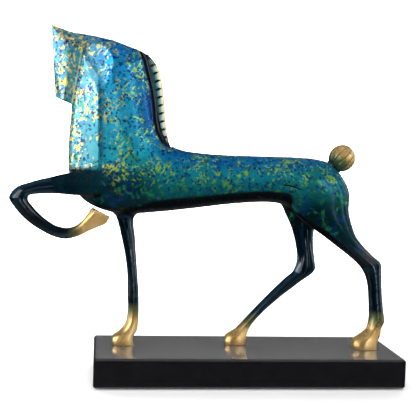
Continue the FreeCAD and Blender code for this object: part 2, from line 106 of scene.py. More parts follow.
FAR_HIND = [
    (34, 202, 86, 208, 18, 11, 0, -0.1, 0, 0.3),
    (39, 181, 82, 180, 18, 12.5, 0, -0.1, 0, 0.3),
    (50, 157, 74, 158, 17, 10.5, 0.2, -0.1, 0.03, 0.3),
    (54.3, 141, 73.2, 142.5, 16, 9, 0.5, -0.1, 0.08, 0.4),
    (56.3, 126, 75, 127, 15.5, 8.5, 0.8, -0.05, 0.12, 0.4),
    (53.5, 114, 76, 114.5, 15, 8, 0.9, 0, 0.16, 0.45),
    (43.5, 104, 59, 100, 15, 7.3, 0.95, 0, 0.18, 0.5),
    (28.5, 89, 38, 83.2, 15, 6.8, 0.95, 0, 0.18, 0.5),
    (12.5, 72, 20, 66.6, 15, 6.5, 0.95, 0, 0.18, 0.5),
    (0, 58, 8.4, 53.2, 15, 7, 0.95, -0.05, 0.15, 0.5),
    (-9.5, 48, 4.2, 44.8, 15, 8, 0.95, -0.2, 0.1, 0.55),
    (-19, 41, 2.9, 39.5, 15, 9.5, 0.95, -0.4, 0, 0.65),
    (-20.3, 36, 2.4, 35.5, 15, 10, 0.95, -0.55, 0, 0.7),
    (-18.5, DECK, 2.2, DECK, 15, 9.6, 0.95, -0.6, 0, 0.7),
]
STANDING_FORE = [
    (-154, 205, -108, 205, 15, 11, 0, -0.1, 0, 0.3),
    (-147, 182, -115, 182, 14, 11, 0, -0.1, 0, 0.3),
    (-140.5, 168, -120.9, 168.5, 13, 10, 0.2, -0.1, 0.03, 0.3),
    (-133.3, 143, -119.4, 143, 11.5, 8.5, 0.7, -0.05, 0.1, 0.4),
    (-127.7, 114.5, -116.8, 114, 10.5, 7.5, 0.9, 0, 0.15, 0.45),
    (-125.9, 82.5, -114.3, 82.5, 10, 6.5, 0.95, 0, 0.18, 0.5),
    (-125.4, 66, -113.9, 66, 10, 6.5, 0.95, 0, 0.18, 0.5),
    (-128, 53.5, -114.2, 54, 10, 7.5, 0.95, -0.1, 0.14, 0.55),
    (-134, 46, -115.6, 46.5, 10, 8.5, 0.95, -0.25, 0.06, 0.6),
    (-140.4, 40.7, -119.2, 40.8, 10, 9.5, 0.95, -0.45, 0, 0.65),
    (-141.2, 36, -119.2, 35.5, 10, 10, 0.95, -0.55, 0, 0.7),
    (-139.2, DECK, -118.4, DECK, 10, 9.6, 0.95, -0.6, 0, 0.7),
]
RAISED_FORE = [
    (-148, 205, -149, 194, -12, 6, 0.3, -0.05, 0.1, 0.3),
    (-160, 211.5, -159, 190.5, -13.2, 9, 0.8, -0.05, 0.14, 0.3),
    (-175, 213.8, -172, 190, -12.2, 10.2, 0.95, -0.05, 0.16, 0.3),
    (-190.5, 212.2, -184.5, 190, -10.5, 10.2, 0.95, -0.05, 0.16, 0.3),
    (-208, 207.6, -202, 191, -9.2, 9.3, 0.95, -0.05, 0.16, 0.3),
    (-228, 202, -221, 190, -8.3, 8.5, 0.95, -0.02, 0.16, 0.3),
    (-243, 195.5, -229.5, 187.8, -8, 8, 0.95, 0.05, 0.16, 0.3),
    (-249.2, 186.5, -229.9, 183.5, -8, 7.5, 0.95, 0.1, 0.16, 0.35),
    (-243.2, 176, -226.5, 178.8, -8, 7, 0.95, 0.1, 0.16, 0.35),
    (-231, 163, -219.5, 171, -8, 6.5, 0.95, 0.1, 0.16, 0.35),
    (-217.6, 153.8, -209, 162.5, -8, 6.5, 0.95, 0.1, 0.16, 0.35),
    (-204.2, 147.2, -200.5, 157.8, -8, 6.5, 0.95, 0.12, 0.14, 0.4),
    (-192, 144.7, -191.8, 156.1, -8, 7, 0.95, 0.2, 0.12, 0.45),
    (-179.5, 147.5, -182.5, 158, -8, 7.5, 0.95, 0.35, 0.12, 0.5),
    (-167, 154, -174, 165, -8, 8.5, 0.95, 0.5, 0.1, 0.55),
    (-157, 158.4, -169.3, 171.5, -8, 9.3, 0.95, 0.55, 0.08, 0.6),
    (-150.9, 161.3, -167.2, 175, -8, 9.6, 0.95, 0.55, 0.06, 0.65),
    (-146.7, 168.6, -165.6, 177.2, -8, 9, 0.95, 0.55, 0, 0.65),
]
# name, rows, row of the root cut, row of the seam, softness of the root
LIMBS = [
    ("near_hind_leg", NEAR_HIND, 3, 11, 12),
    ("far_hind_leg", FAR_HIND, 2, 8, 9),
    ("standing_foreleg", STANDING_FORE, 2, 5, 7),
    ("raised_foreleg", RAISED_FORE, 4, 9, 4),
]

# Boxes round the surfaces that each cut may cross
NECK_BOX = ((-400, -100, 217), (-60, 100, 400))
LEG_BOXES = {
    "near_hind_leg": ((60, -60, 20), (170, 5.3, 190)),
    "far_hind_leg": ((-40, 4.7, 20), (100, 60, 175)),
    "standing_foreleg": ((-160, -60, 20), (-100, 60, 169)),
    "raised_foreleg": ((-270, -60, 130), (-192, 60, 216)),
}

# Lines on the side of the head and neck (x, z)
FACE_FRONT = [(-205.5, 289.3), (-208.3, 326), (-211, 364)]
JAW_LINE = [(-190.6, 205), (-191, 222), (-191.1, 242.6), (-189.6, 267.1), (-188.5, 282.3), (-179.6, 335.5),
            (-176, 356)]
FACET_EDGE = [(-158.6, 205), (-159.3, 221.5), (-161.2, 297), (-163.2, 313.3), (-169.8, 321.7), (-179.4, 335)]
# where the facet's rear edge turns forward to the point between the ears
FACET_TURN = (-161.2, 297)
BLADE_FOOT = 278.0    # the flat head starts above this height
WITHERS = -75.0    # the planes and the outline end at this x
OUTLINE_FOOT = 196.0    # the outline is cut above this height
CAP_EDGE = [(-211.5, 362.5), (-192.4, 340.8), (-187.3, 339.5), (-177.8, 341), (-165, 342), (-145, 336),
            (-121, 322), (-105, 306)]
TOP_LINE = [(-211.5, 362.2), (-190.3, 355.9), (-168.9, 353.4), (-147.3, 349.3), (-121.2, 340.5), (-111, 336),
            (-100, 330)]
OUTLINE = [
    (-230, 150), (-187.9, 203), (-189.8, 212.5), (-191.1, 222), (-191.1, 242.6), (-189.6, 267.1),
    (-188.5, 282.3), (-205.5, 289.3), (-208.3, 326), (-210.9, 362.2), (-190.3, 355.9), (-168.9, 353.4),
    (-147.3, 349.3), (-121.2, 340.5), (-110.5, 335), (-105.8, 315.9), (-102.6, 300.4), (-100.2, 284.8),
    (-98.1, 269.1), (-95.2, 257.3), (-90, 246.4), (-84, 240.8), (-80, 300), (180, 300), (180, 150),
]
CHANNEL_EDGE = [(-128, 347), (-122.1, 339.4), (-117.5, 330.5), (-113.2, 315.1), (-108.9, 299.8),
                (-106.5, 284.3), (-104.8, 268.8), (-102.1, 257.1), (-96.3, 246.3), (-87.5, 240)]
CHANNEL_FOOT = 239.6
CHANNEL_HALF = 5.0    # half width left between the channels of the two sides
FLANK_LINE = [(21.7, 206.7), (38.2, 204.8), (53.7, 200.1), (63.1, 195.2), (74.5, 187.7)]

FLANK_DEPTH, FLANK_SPREAD = 1.2, 1.6
CREST_OUTER = [(-111.6, 336.5), (-103.4, 327.4), (-98.3, 316.6), (-95.1, 301), (-93, 285.3),
               (-91.7, 269.5), (-90, 257.6), (-87.4, 246.5), (-84.5, 240.8)]
CREST_ROOT = [(-118, 334), (-112.5, 322), (-109, 308), (-106.5, 294), (-104.5, 280),
              (-102.5, 268), (-99.5, 257.5), (-94, 247.5), (-88, 241)]
CREST_HALF = 4.0
CREST_NOTCHES = 12
NOTCH_SHARE = 0.19    # half width of a notch as a share of their spacing
NOTCH_DEPTH = 1.7

TAIL_FOOT = (88.5, 225.0)
TAIL_AXIS = (0.67, 0.742)
KNOB = [(0.0, -0.5), (6.5, -0.5), (8.2, 0.3), (9.7, 1.6), (11.4, 3.8), (12.9, 6.5), (13.9, 9.6), (14.2, 13.0),
        (13.7, 16.5), (12.4, 19.8), (10.3, 22.6), (7.6, 24.8), (4.6, 26.2), (2.0, 26.7), (0.0, 26.8)]
KNOB_FLUTES = 12
FLUTE_DEPTH = 0.08
KNOB_TWIST = 1.3
KNOB_LIFT = 2.4
KNOB_RING = 220
COLLAR_RING = 96
COLLAR = [(0.0, -5.0), (9.4, -5.0), (9.0, -2.4), (8.5, -0.6), (8.3, 0.6), (8.6, 1.6), (9.1, 2.1), (9.0, 2.7),
          (8.0, 2.9), (0.0, 2.9)]


# ------------------------------------------------------------------------------------------------
# Small helpers
# ------------------------------------------------------------------------------------------------
def interp(points, value, axis):
    """Coordinate of a polyline at a value of its other coordinate; axis 0 gives x at z, axis 1 gives z at x."""
    table = sorted((p[1 - axis], p[axis]) for p in points)
    return np.interp(value, [a for a, b in table], [b for a, b in table])


def smooth(low, high, value):
    """From 0 at low to 1 at high; low may be the larger of the two."""
    t = np.clip((value - low) / (high - low), 0.0, 1.0)
    return t * t * (3.0 - 2.0 * t)


def soft_min(a, b, k):
    h = np.maximum(k - np.abs(a - b), 0.0) / k
    return np.minimum(a, b) - h * h * (0.25 * k)


def from_polyline(points, x, z):
    """Distance to an open polyline, and which side of it: positive on the right of its direction."""
    best = np.full(x.shape, 1e9)
    side = np.ones(x.shape)
    for (ax, az), (bx, bz) in zip(points, points[1:]):
        dx, dz = bx - ax, bz - az
        t = np.clip(((x - ax) * dx + (z - az) * dz) / (dx * dx + dz * dz), 0.0, 1.0)
        gap = np.hypot(x - ax - t * dx, z - az - t * dz)
        nearer = gap < best
        best = np.where(nearer, gap, best)
        side = np.where(nearer, np.sign((x - ax) * dz - (z - az) * dx), side)
    return best, side


def in_polygon(points, x, z):
    inside = np.zeros(x.shape, bool)
    for (ax, az), (bx, bz) in zip(points, points[1:] + points[:1]):
        if az != bz:
            crosses = ((az > z) != (bz > z)) & (x < (bx - ax) * (z - az) / (bz - az) + ax)
            inside ^= crosses
    return inside


# ------------------------------------------------------------------------------------------------
# Lofted forms as distance fields
# ------------------------------------------------------------------------------------------------
def evened(rows, step):
    """The same sections with more drawn in between, along a smooth path."""
    values = np.array(rows, float)
    steps = values[1:] - values[:-1]
    gaps = 0.5 * (np.hypot(steps[:, 0], steps[:, 1]) + np.hypot(steps[:, 2], steps[:, 3]))
    slopes = steps / gaps[:, None]
    before, after = gaps[:-1, None], gaps[1:, None]
    middle = (slopes[:-1] * after + slopes[1:] * before) / (before + after)
    tangents = np.vstack([slopes[:1], middle, slopes[-1:]])
    result = []
    for i, gap in enumerate(gaps):
        count = max(1, round(gap / step))
        for k in range(count):
            s = k / count
            result.append((1 + 2 * s) * (1 - s) ** 2 * values[i] + s * (1 - s) ** 2 * gap * tangents[i]
                          + s * s * (3 - 2 * s) * values[i + 1] + s * s * (s - 1) * gap * tangents[i + 1])
    return np.array(result + [values[-1]])


def side_width(t, row):
    """Half width at t, from -1 at the front edge to 1 at the rear, as a share of the section's."""
    oval = np.maximum(1.0 - t * t, 0.0) ** OVAL_POWER
    if len(row) == 6:
        return oval
    facet, ridge, groove, rear = row[6:]
    facet = FACET_SHARE * min(max(facet, 0.0), 1.0)
    front, shoulder = 0.2, 0.72
    floor = 1.0 - 1.7 * groove
    planed = np.interp(t, [-1.0, ridge - 0.5, ridge, ridge + 0.14, ridge + 0.3, 0.8, 1.0],
                       [front, shoulder, 1.0, floor, floor + 0.06, 0.9 * floor, rear])
    return (1.0 - facet) * oval + facet * planed


def two_sided(x, y, z, width):
    """Ring of points along the near side of a section and back along the far side."""
    near = np.stack([x, y - width, z], 1)
    far = np.stack([x, y + width, z], 1)[::-1]
    return np.vstack([near, far])


def ring_faces(count, rings):
    """Four-sided faces between neighbouring rings of count points each."""
    around = np.arange(count)
    following = (around + 1) % count
    first = np.stack([around, following, count + following, count + around], 1)
    return np.vstack([first + ring * count for ring in range(rings - 1)])


def loft_mesh(rows):
    """Points and faces of the closed form through the sections, in millimetres."""
    t = -np.cos(np.pi * np.arange(HALF_RING + 1) / HALF_RING)
    rings = []
    for row in evened(rows, ROW_STEP):
        ax, az, bx, bz, y, half_width = row[:6]
        x = 0.5 * (ax + bx) + 0.5 * (bx - ax) * t
        z = 0.5 * (az + bz) + 0.5 * (bz - az) * t
        rings.append(two_sided(x, y, z, side_width(t, row) * half_width))
    count = len(rings[0])
    points = np.vstack(rings + [rings[0].mean(0)[None], rings[-1].mean(0)[None]])
    start, end = len(points) - 2, len(points) - 1
    around = np.arange(count)
    following = (around + 1) % count
    last = (len(rings) - 1) * count
    caps = np.vstack([np.stack([np.full(count, start), following, around], 1),
                      np.stack([np.full(count, end), last + around, last + following], 1)])
    return points, ring_faces(count, len(rings)), caps


class Block:
    """A box of voxels with the positions of its cells."""

    def __init__(self, low, high, cell):
        self.cell = cell
        self.low = np.floor(np.array(low) / cell).astype(int)
        self.size = np.ceil(np.array(high) / cell).astype(int) - self.low + 1
        axes = [(self.low[a] + np.arange(self.size[a])) * cell for a in range(3)]
        self.x = axes[0][:, None, None]
        self.y = axes[1][None, :, None]
        self.z = axes[2][None, None, :]
        self.flat_x, self.flat_z = np.meshgrid(axes[0], axes[2], indexing="ij")

    def loft(self, rows):
        points, quads, caps = loft_mesh(rows)
        grid = vdb.FloatGrid.createLevelSetFromPolygons(
            points.astype(np.float32), triangles=caps.astype(np.uint32), quads=quads.astype(np.uint32),
            transform=vdb.createLinearTransform(voxelSize=self.cell), halfWidth=BAND / self.cell)
        field = np.empty(tuple(self.size), np.float32)
        grid.copyToArray(field, ijk=tuple(int(v) for v in self.low))
        return field

    def surface(self, field):
        """Vertices and faces of the field's zero surface."""
        grid = vdb.FloatGrid(BAND)
        grid.transform = vdb.createLinearTransform(voxelSize=self.cell)
        grid.copyFromArray(field, ijk=tuple(int(v) for v in self.low))
        points, triangles, quads = grid.convertToPolygons(isovalue=0.0, adaptivity=0.0)
        points = points.astype(np.float64)
        for _ in range(2):
            value, gradient = self.sample(field, points)
            points -= gradient * (value / np.maximum((gradient ** 2).sum(1), 0.25))[:, None]
        return points, triangles, quads

    def sample(self, field, points):
        """Value and gradient of the field at points."""
        def value(at):
            cell = at / self.cell - self.low
            base = np.clip(np.floor(cell).astype(int), 0, self.size - 2)
            f = cell - base
            total = 0.0
            for corner in range(8):
                bits = [(corner >> a) & 1 for a in range(3)]
                weight = 1.0
                for a in range(3):
                    weight = weight * (f[:, a] if bits[a] else 1.0 - f[:, a])
                total = total + weight * field[tuple((base + bits).T)]
            return total
        reach = 0.6 * self.cell
        gradient = np.zeros(points.shape)
        for a in range(3):
            step = np.zeros(3)
            step[a] = reach
            gradient[:, a] = (value(points + step) - value(points - step)) / (2.0 * reach)
        return value(points), gradient


# ------------------------------------------------------------------------------------------------
# The head and neck's planes, as the half width allowed at each x, z
# ------------------------------------------------------------------------------------------------
def neck_width(x, z):
    """Front strip, planed facet and the side of the neck, which leans in towards the top of the facet."""
    front = interp(JAW_LINE, z, 0)
    edge = interp(FACET_EDGE, np.minimum(z, FACET_TURN[1]), 0)
    strip, nose, first, full, flank = 3.7, 1.6, 6.5, 19.2, 24.5
    u = x - front
    run = np.clip((u - strip) / (edge - interp(JAW_LINE, np.minimum(z, FACET_TURN[1]), 0) - strip), 0.0, 2.0)
    facet = first + (full - first) * run + 0.5 * np.sin(np.pi * np.minimum(run, 1.0))
    facet = np.where(u < strip, nose + (first - nose) * np.maximum(u, 0.0) / strip, facet)
    past = x - edge
    lean = 0.35 * (FACET_TURN[0] - x) + 0.22 * (z - FACET_TURN[1])
    lean = 0.5 * (lean + np.sqrt(lean ** 2 + 1.5))
    swell = (flank - full) * smooth(0.0, 34.0, past) + 20.0 * smooth(30.0, 90.0, past)
    hollow = 0.5 * np.exp(-((past - 2.0) / 2.6) ** 2) * (1.0 - smooth(300.0, 312.0, z))
    return np.minimum(facet, full + swell - hollow - lean)


def blade_width(x, z):
    """The flat head in front of the jaw line: knife-edged face, convex cheek, valley at the jaw."""
    face = interp(FACE_FRONT, z, 0)
    jaw = interp(JAW_LINE, z, 0)
    valley, throat = 8.0, 5.6
    ahead = jaw - x
    c = np.clip((ahead - valley) / np.maximum(jaw - valley - face, 1.0), 0.0, 1.0)
    cheek = 2.2 + 7.6 * (1.0 - c ** 1.7)
    dip = throat + 4.2 * np.clip(ahead, 0.0, valley) / valley
    width = np.where(ahead > valley, cheek, dip)
    return np.where(ahead < 0.0, throat, width)


def head_width(x, z):
    """Half width of the head and neck under the roof planes of the forehead and the dome of the poll."""
    ridge, dome_width, dome_depth = 1.4, 21.0, 34.0
    side = np.maximum(neck_width(x, z), np.where(z > BLADE_FOOT, blade_width(x, z), 0.0))
    edge_z = interp(CAP_EDGE, x, 1)
    top_z = interp(TOP_LINE, x, 1)
    edge_side = np.maximum(neck_width(x, edge_z), blade_width(x, edge_z))
    depth = np.maximum(top_z - z, 0.0)
    span = np.maximum(top_z - edge_z, 0.6)
    roof = ridge + np.maximum(edge_side - ridge, 0.0) * depth / span
    dome = ridge + dome_width * np.sqrt(depth / dome_depth)
    share = smooth(-176.0, -140.0, x)
    cap = (1.0 - share) * roof + share * dome
    return np.minimum(side, cap)


def carve_head(block, field):
    """Planes the head and neck, cuts the side outline and the channel beside the mane."""
    x, z = block.flat_x, block.flat_z
    width = head_width(x, z)
    slope_x, slope_z = np.gradient(width, block.cell)
    lean = np.sqrt(1.0 + np.minimum(slope_x ** 2 + slope_z ** 2, 9.0))
    width = width + 10.0 * smooth(224.0, 200.0, z) + 40.0 * smooth(208.0, 186.0, z)
    planes = (np.abs(block.y - MID) - width[:, None, :]) / lean[:, None, :]
    away, side = from_polyline(CHANNEL_EDGE, x, z)
    behind = np.where(side < 0.0, away, -away)
    behind = np.where(z < CHANNEL_FOOT, -20.0, behind)
    bead = 0.8 * np.exp(-((behind - 3.4) / 0.8) ** 2)
    floor = CHANNEL_HALF + bead + 9.0 * smooth(0.9, -0.9, behind) + 40.0 * smooth(-0.6, -3.0, behind)
    channel = (np.abs(block.y - MID) - floor[:, None, :]) * 0.6
    edge, _ = from_polyline(OUTLINE + OUTLINE[:1], x, z)
    outline = np.where(in_polygon(OUTLINE, x, z), -edge, edge)[:, None, :]
    planes = np.where(block.x < WITHERS, np.maximum(planes, channel), -BAND)
    above = np.where((block.z > OUTLINE_FOOT) & (block.x < WITHERS), outline, -BAND)
    return np.maximum(np.maximum(field, planes), above).astype(np.float32)


def score(block, field, points, depth, spread):
    """Cuts a shallow line into the near and far side."""
    away, _ = from_polyline(points, block.flat_x, block.flat_z)
    ends = smooth(points[0][0] - 2.0, points[0][0] + 14.0, block.flat_x)
    trough = depth * np.exp(-(away / spread) ** 2) * ends
    far_enough = smooth(9.0, 14.0, np.abs(block.y - MID))
    return (field + trough[:, None, :] * far_enough).astype(np.float32)


# ------------------------------------------------------------------------------------------------
# Meshes from fields and tables
# ------------------------------------------------------------------------------------------------
def seam_plane(rows, index):
    """Centre of a section and the unit direction square to it, pointing down the limb."""
    ax, az, bx, bz, y = rows[index][:5]
    cx, cz, dx, dz = rows[index + 1][:4]
    centre = np.array([0.5 * (ax + bx), y, 0.5 * (az + bz)])
    normal = np.array([-(bz - az), 0.0, bx - ax])
    normal /= np.linalg.norm(normal)
    if normal @ (np.array([0.5 * (cx + dx), 0.0, 0.5 * (cz + dz)]) - centre * (1.0, 0.0, 1.0)) < 0.0:
        normal = -normal
    return centre, normal


def cut(bm, centre, normal, low, high):
    """New edges along a plane, only where the surface lies inside the box low to high."""
    low, high, origin, direction = Vector(low), Vector(high), Vector(centre), Vector(normal)
    margin = 3.0
    faces = [f for f in bm.faces
             if all(low[a] <= c <= high[a] for v in f.verts for a, c in enumerate(v.co))
             and any((v.co - origin).dot(direction) > -margin for v in f.verts)
             and any((v.co - origin).dot(direction) < margin for v in f.verts)]
    geometry = set(faces)
    for f in faces:
        geometry.update(f.edges)
        geometry.update(f.verts)
    bmesh.ops.bisect_plane(bm, geom=list(geometry), dist=1e-5, plane_co=centre, plane_no=normal)


def to_bmesh(points, triangles, quads):
    mesh = bpy.data.meshes.new("work")
    mesh.from_pydata(points.tolist(), [], quads.tolist() + triangles.tolist())
    bm = bmesh.new()
    bm.from_mesh(mesh)
    bpy.data.meshes.remove(mesh)
    return bm


def closed_piece(name, faces, block, field):
    """An object from some faces of the surface, its cut ends closed, with normals taken from the field."""
    index = {}
    corners = []
    for f in faces:
        corners.append([index.setdefault(v, len(index)) for v in f.verts])
    points = np.array([v.co[:] for v in index])
    part = bmesh.new()
    verts = [part.verts.new(p) for p in points]
    for ring in corners:
        part.faces.new([verts[i] for i in ring])
    skin = len(corners)
    rim = [e for e in part.edges if len(e.link_faces) == 1]
    if rim:
        caps = bmesh.ops.holes_fill(part, edges=rim, sides=0)["faces"]
        bmesh.ops.triangulate(part, faces=caps)
    part.verts.index_update()
    value, gradient = block.sample(field, np.array([v.co[:] for v in part.verts]))
    unit = gradient / np.maximum(np.linalg.norm(gradient, axis=1), 1e-6)[:, None]
    part.faces.ensure_lookup_table()
    loop_normals = []
    for i, f in enumerate(part.faces):
        f.smooth = True
        if i < skin:
            loop_normals.extend(unit[v.index] for v in f.verts)
        else:
            f.normal_update()
            loop_normals.extend([np.array(f.normal)] * len(f.verts))
    mesh = bpy.data.meshes.new(name)
    part.to_mesh(mesh)
    part.free()
    mesh.transform(Matrix.Scale(MM, 4))
    mesh.normals_split_custom_set([tuple(n) for n in loop_normals])
    return show(name, mesh)


def show(name, mesh):
    piece = bpy.data.objects.new(name, mesh)
    bpy.context.scene.collection.objects.link(piece)
    return piece


def fitted(piece, node, material):
    piece.data.materials.clear()
    piece.data.materials.append(material)
    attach(piece, "root")
    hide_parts(node)
    return piece


# Box that the head is planed from
HEAD_FRONT, HEAD_REAR, HEAD_FOOT, HEAD_HALF = -214.0, -168.0, 272.0, 30.0


def horse_field(block):
    """Trunk, head and the legs' upper parts in one smooth form."""
    body = block.loft(TRUNK)
    head = np.maximum(np.maximum(HEAD_FRONT - block.x, block.x - HEAD_REAR), HEAD_FOOT - block.z)
    head = np.clip(np.maximum(head, np.abs(block.y - MID) - HEAD_HALF), -BAND, BAND)
    body = carve_head(block, np.minimum(body, head))
    body = score(block, body, FLANK_LINE, FLANK_DEPTH, FLANK_SPREAD)
    result = body.copy()
    for name, rows, root, seam, softness in LIMBS:
        kept = rows if name != "raised_foreleg" else rows[:seam + 2]
        result = np.minimum(result, soft_min(body, block.loft(kept), softness))
    return result


def beyond(f, plane):
    return Vector(plane[1]).dot(f.calc_center_median() - Vector(plane[0])) > 0.0


def inside(f, box):
    centre = f.calc_center_median()
    return all(box[0][a] < centre[a] < box[1][a] for a in range(3))


BELLY_LEVEL = 120.0    # no part of the trunk lies below this
HORSE_BOX = ((-256.0, -30.0, 27.0), (158.0, 40.0, 368.0))


def horse_pieces():
    block = Block(*HORSE_BOX, VOXEL)
    field = horse_field(block)
    bm = to_bmesh(*block.surface(field))
    (ax, az), (bx, bz) = NECK_SEAM
    neck = ((ax, MID, az), tuple(np.array([az - bz, 0.0, bx - ax]) / math.hypot(bx - ax, bz - az)))
    cut(bm, *neck, *NECK_BOX)
    planes = {}
    for name, rows, root, seam, softness in LIMBS:
        planes[name] = seam_plane(rows, root), seam_plane(rows, seam)
        for plane in planes[name]:
            cut(bm, *plane, *LEG_BOXES[name])
    groups = {"trunk": [], "head_and_neck": []}
    for name in planes:
        groups[name + "_upper"] = []
    for f in bm.faces:
        owner = "head_and_neck" if inside(f, NECK_BOX) and beyond(f, neck) else "trunk"
        if f.calc_center_median()[2] < BELLY_LEVEL:
            owner = None
        for name, (root, seam) in planes.items():
            if inside(f, LEG_BOXES[name]) and beyond(f, root):
                owner = None if beyond(f, seam) else name + "_upper"
        if owner:
            groups[owner].append(f)
    pieces = {owner: closed_piece(owner + "_form", faces, block, field) for owner, faces in groups.items()}
    bm.free()
    for name, rows, root, seam, softness in LIMBS:
        pieces[name + "_lower"] = lower_piece(name, rows, seam, planes[name][1])
    return pieces


def lower_piece(name, rows, seam, plane):
    """Shin, fetlock and hoof of one leg, on a finer block."""
    lower = np.array(rows[seam:], float)
    xs, zs, y, half_width = lower[:, 0:4:2], lower[:, 1:4:2], lower[-1, 4], lower[:, 5].max()
    spare, side_spare = 8.0, 4.0
    low = (xs.min() - spare, y - half_width - side_spare, zs.min() - spare)
    high = (xs.max() + spare, y + half_width + side_spare, zs.max() + spare)
    block = Block(low, high, SHIN_CELL * VOXEL)
    field = block.loft(rows[seam - 1:])
    bm = to_bmesh(*block.surface(field))
    cut(bm, *plane, *LEG_BOXES[name])
    piece = closed_piece(name + "_lower_form", [f for f in bm.faces if beyond(f, plane)], block, field)
    bm.free()
    return piece


# ------------------------------------------------------------------------------------------------
# Mane crest, tail
# ------------------------------------------------------------------------------------------------
def run_of(points):
    """Distance run along a polyline at each of its points."""
    return np.concatenate([[0.0], np.cumsum(np.hypot(*np.diff(points, axis=0).T))])


def along(points, t):
    """Point at fraction t of a polyline."""
    pts, lengths = np.array(points), run_of(points)
    return np.stack([np.interp(t * lengths[-1], lengths, pts[:, a]) for a in range(2)], -1)


def mesh_from_rings(name, rings, smooth_limit=0.7):
    """A closed form through equal rings, in millimetres, its ends closed by a fan."""
    count = len(rings[0])
    points = np.vstack(list(rings) + [np.mean(rings[0], 0)[None], np.mean(rings[-1], 0)[None]])
    faces = ring_faces(count, len(rings)).tolist()
    last = (len(rings) - 1) * count
    for j in range(count):
        k = (j + 1) % count
        faces.append((len(points) - 2, k, j))
        faces.append((len(points) - 1, last + j, last + k))
    mesh = bpy.data.meshes.new(name)
    mesh.from_pydata((points * MM).tolist(), [], faces)
    bm = bmesh.new()
    bm.from_mesh(mesh)
    bmesh.ops.remove_doubles(bm, verts=bm.verts, dist=1e-7)
    bmesh.ops.recalc_face_normals(bm, faces=bm.faces)
    for f in bm.faces:
        f.smooth = True
    for e in bm.edges:
        if len(e.link_faces) == 2 and e.calc_face_angle() > smooth_limit:
            e.smooth = False
    bm.to_mesh(mesh)
    bm.free()
    return show(name, mesh)


def crest():
    """The mane: a fin with a rounded outer edge and a row of spindle-shaped cuts in each side."""
    stations = 300
    t = np.linspace(0.0, 1.0, stations)
    outer = along(CREST_OUTER, t)
    root = along(CREST_ROOT, t)
    s = np.concatenate([np.linspace(0.0, 0.82, 26), [0.87, 0.91, 0.95, 0.98, 1.0]])
    swell = np.interp(s, [0.0, 0.5, 0.82, 0.91, 0.97, 1.0], [1.0, 1.0, 0.93, 0.78, 0.45, 0.12])
    spindle = np.interp(s, [0.0, 0.3, 0.42, 0.62, 0.84, 0.9, 1.0], [0.0, 0.0, 0.8, 1.0, 0.4, 0.0, 0.0])
    half_gap = np.maximum(NOTCH_SHARE * spindle, 1e-6)
    rings, cuts = [], []
    for i in range(stations):
        phase = t[i] * CREST_NOTCHES % 1.0
        reach = np.clip(1.0 - np.abs(phase - 0.5) / half_gap, 0.0, 1.0)
        depth = NOTCH_DEPTH * reach ** 0.6
        cuts.append(np.concatenate([depth, depth[::-1]]) > 0.2)
        ends = min(1.0, 0.45 + 9.0 * t[i], 0.3 + 9.0 * (1.0 - t[i]))
        path = root[i] + (outer[i] - root[i]) * s[:, None]
        rings.append(two_sided(path[:, 0], MID, path[:, 1], CREST_HALF * ends * swell - depth))
    return mesh_from_rings("mane_crest_fin", rings, 0.6), np.concatenate(cuts)


def tail_points(radius, height, angle):
    """Places points given round the tail's axis."""
    ax = np.array([TAIL_AXIS[0], 0.0, TAIL_AXIS[1]])
    ax /= np.linalg.norm(ax)
    side = np.array([0.0, 1.0, 0.0])
    up = np.cross(side, ax)
    foot = np.array([TAIL_FOOT[0], MID, TAIL_FOOT[1]])
    return foot + height * ax + np.outer(radius * np.cos(angle), up) + np.outer(radius * np.sin(angle), side)


def turned(name, outline, around, flutes=0, depth=0.0, twist=0.0, lift=0.0):
    """A form turned round the tail's axis, with optional twisting flutes."""
    table, lengths = np.array(outline), run_of(outline)
    fine = np.linspace(0.0, lengths[-1], 4 * len(table))
    radius = np.interp(fine, lengths, table[:, 0])
    height = np.interp(fine, lengths, table[:, 1])
    angle = 2.0 * np.pi * np.arange(around) / around
    top = height.max()
    rings = []
    for r, h in zip(radius, height):
        turn = flutes * angle + twist * h / top
        cusp = np.abs(np.sin(0.5 * turn))
        fade = min(1.0, r / 6.0)
        shape = 1.0 - depth * fade * (1.0 - cusp) ** 5.0 if flutes else np.ones(around)
        rings.append(tail_points(np.maximum(r, 0.02) * shape, h + lift, angle))
    return mesh_from_rings(name, rings, 0.9)


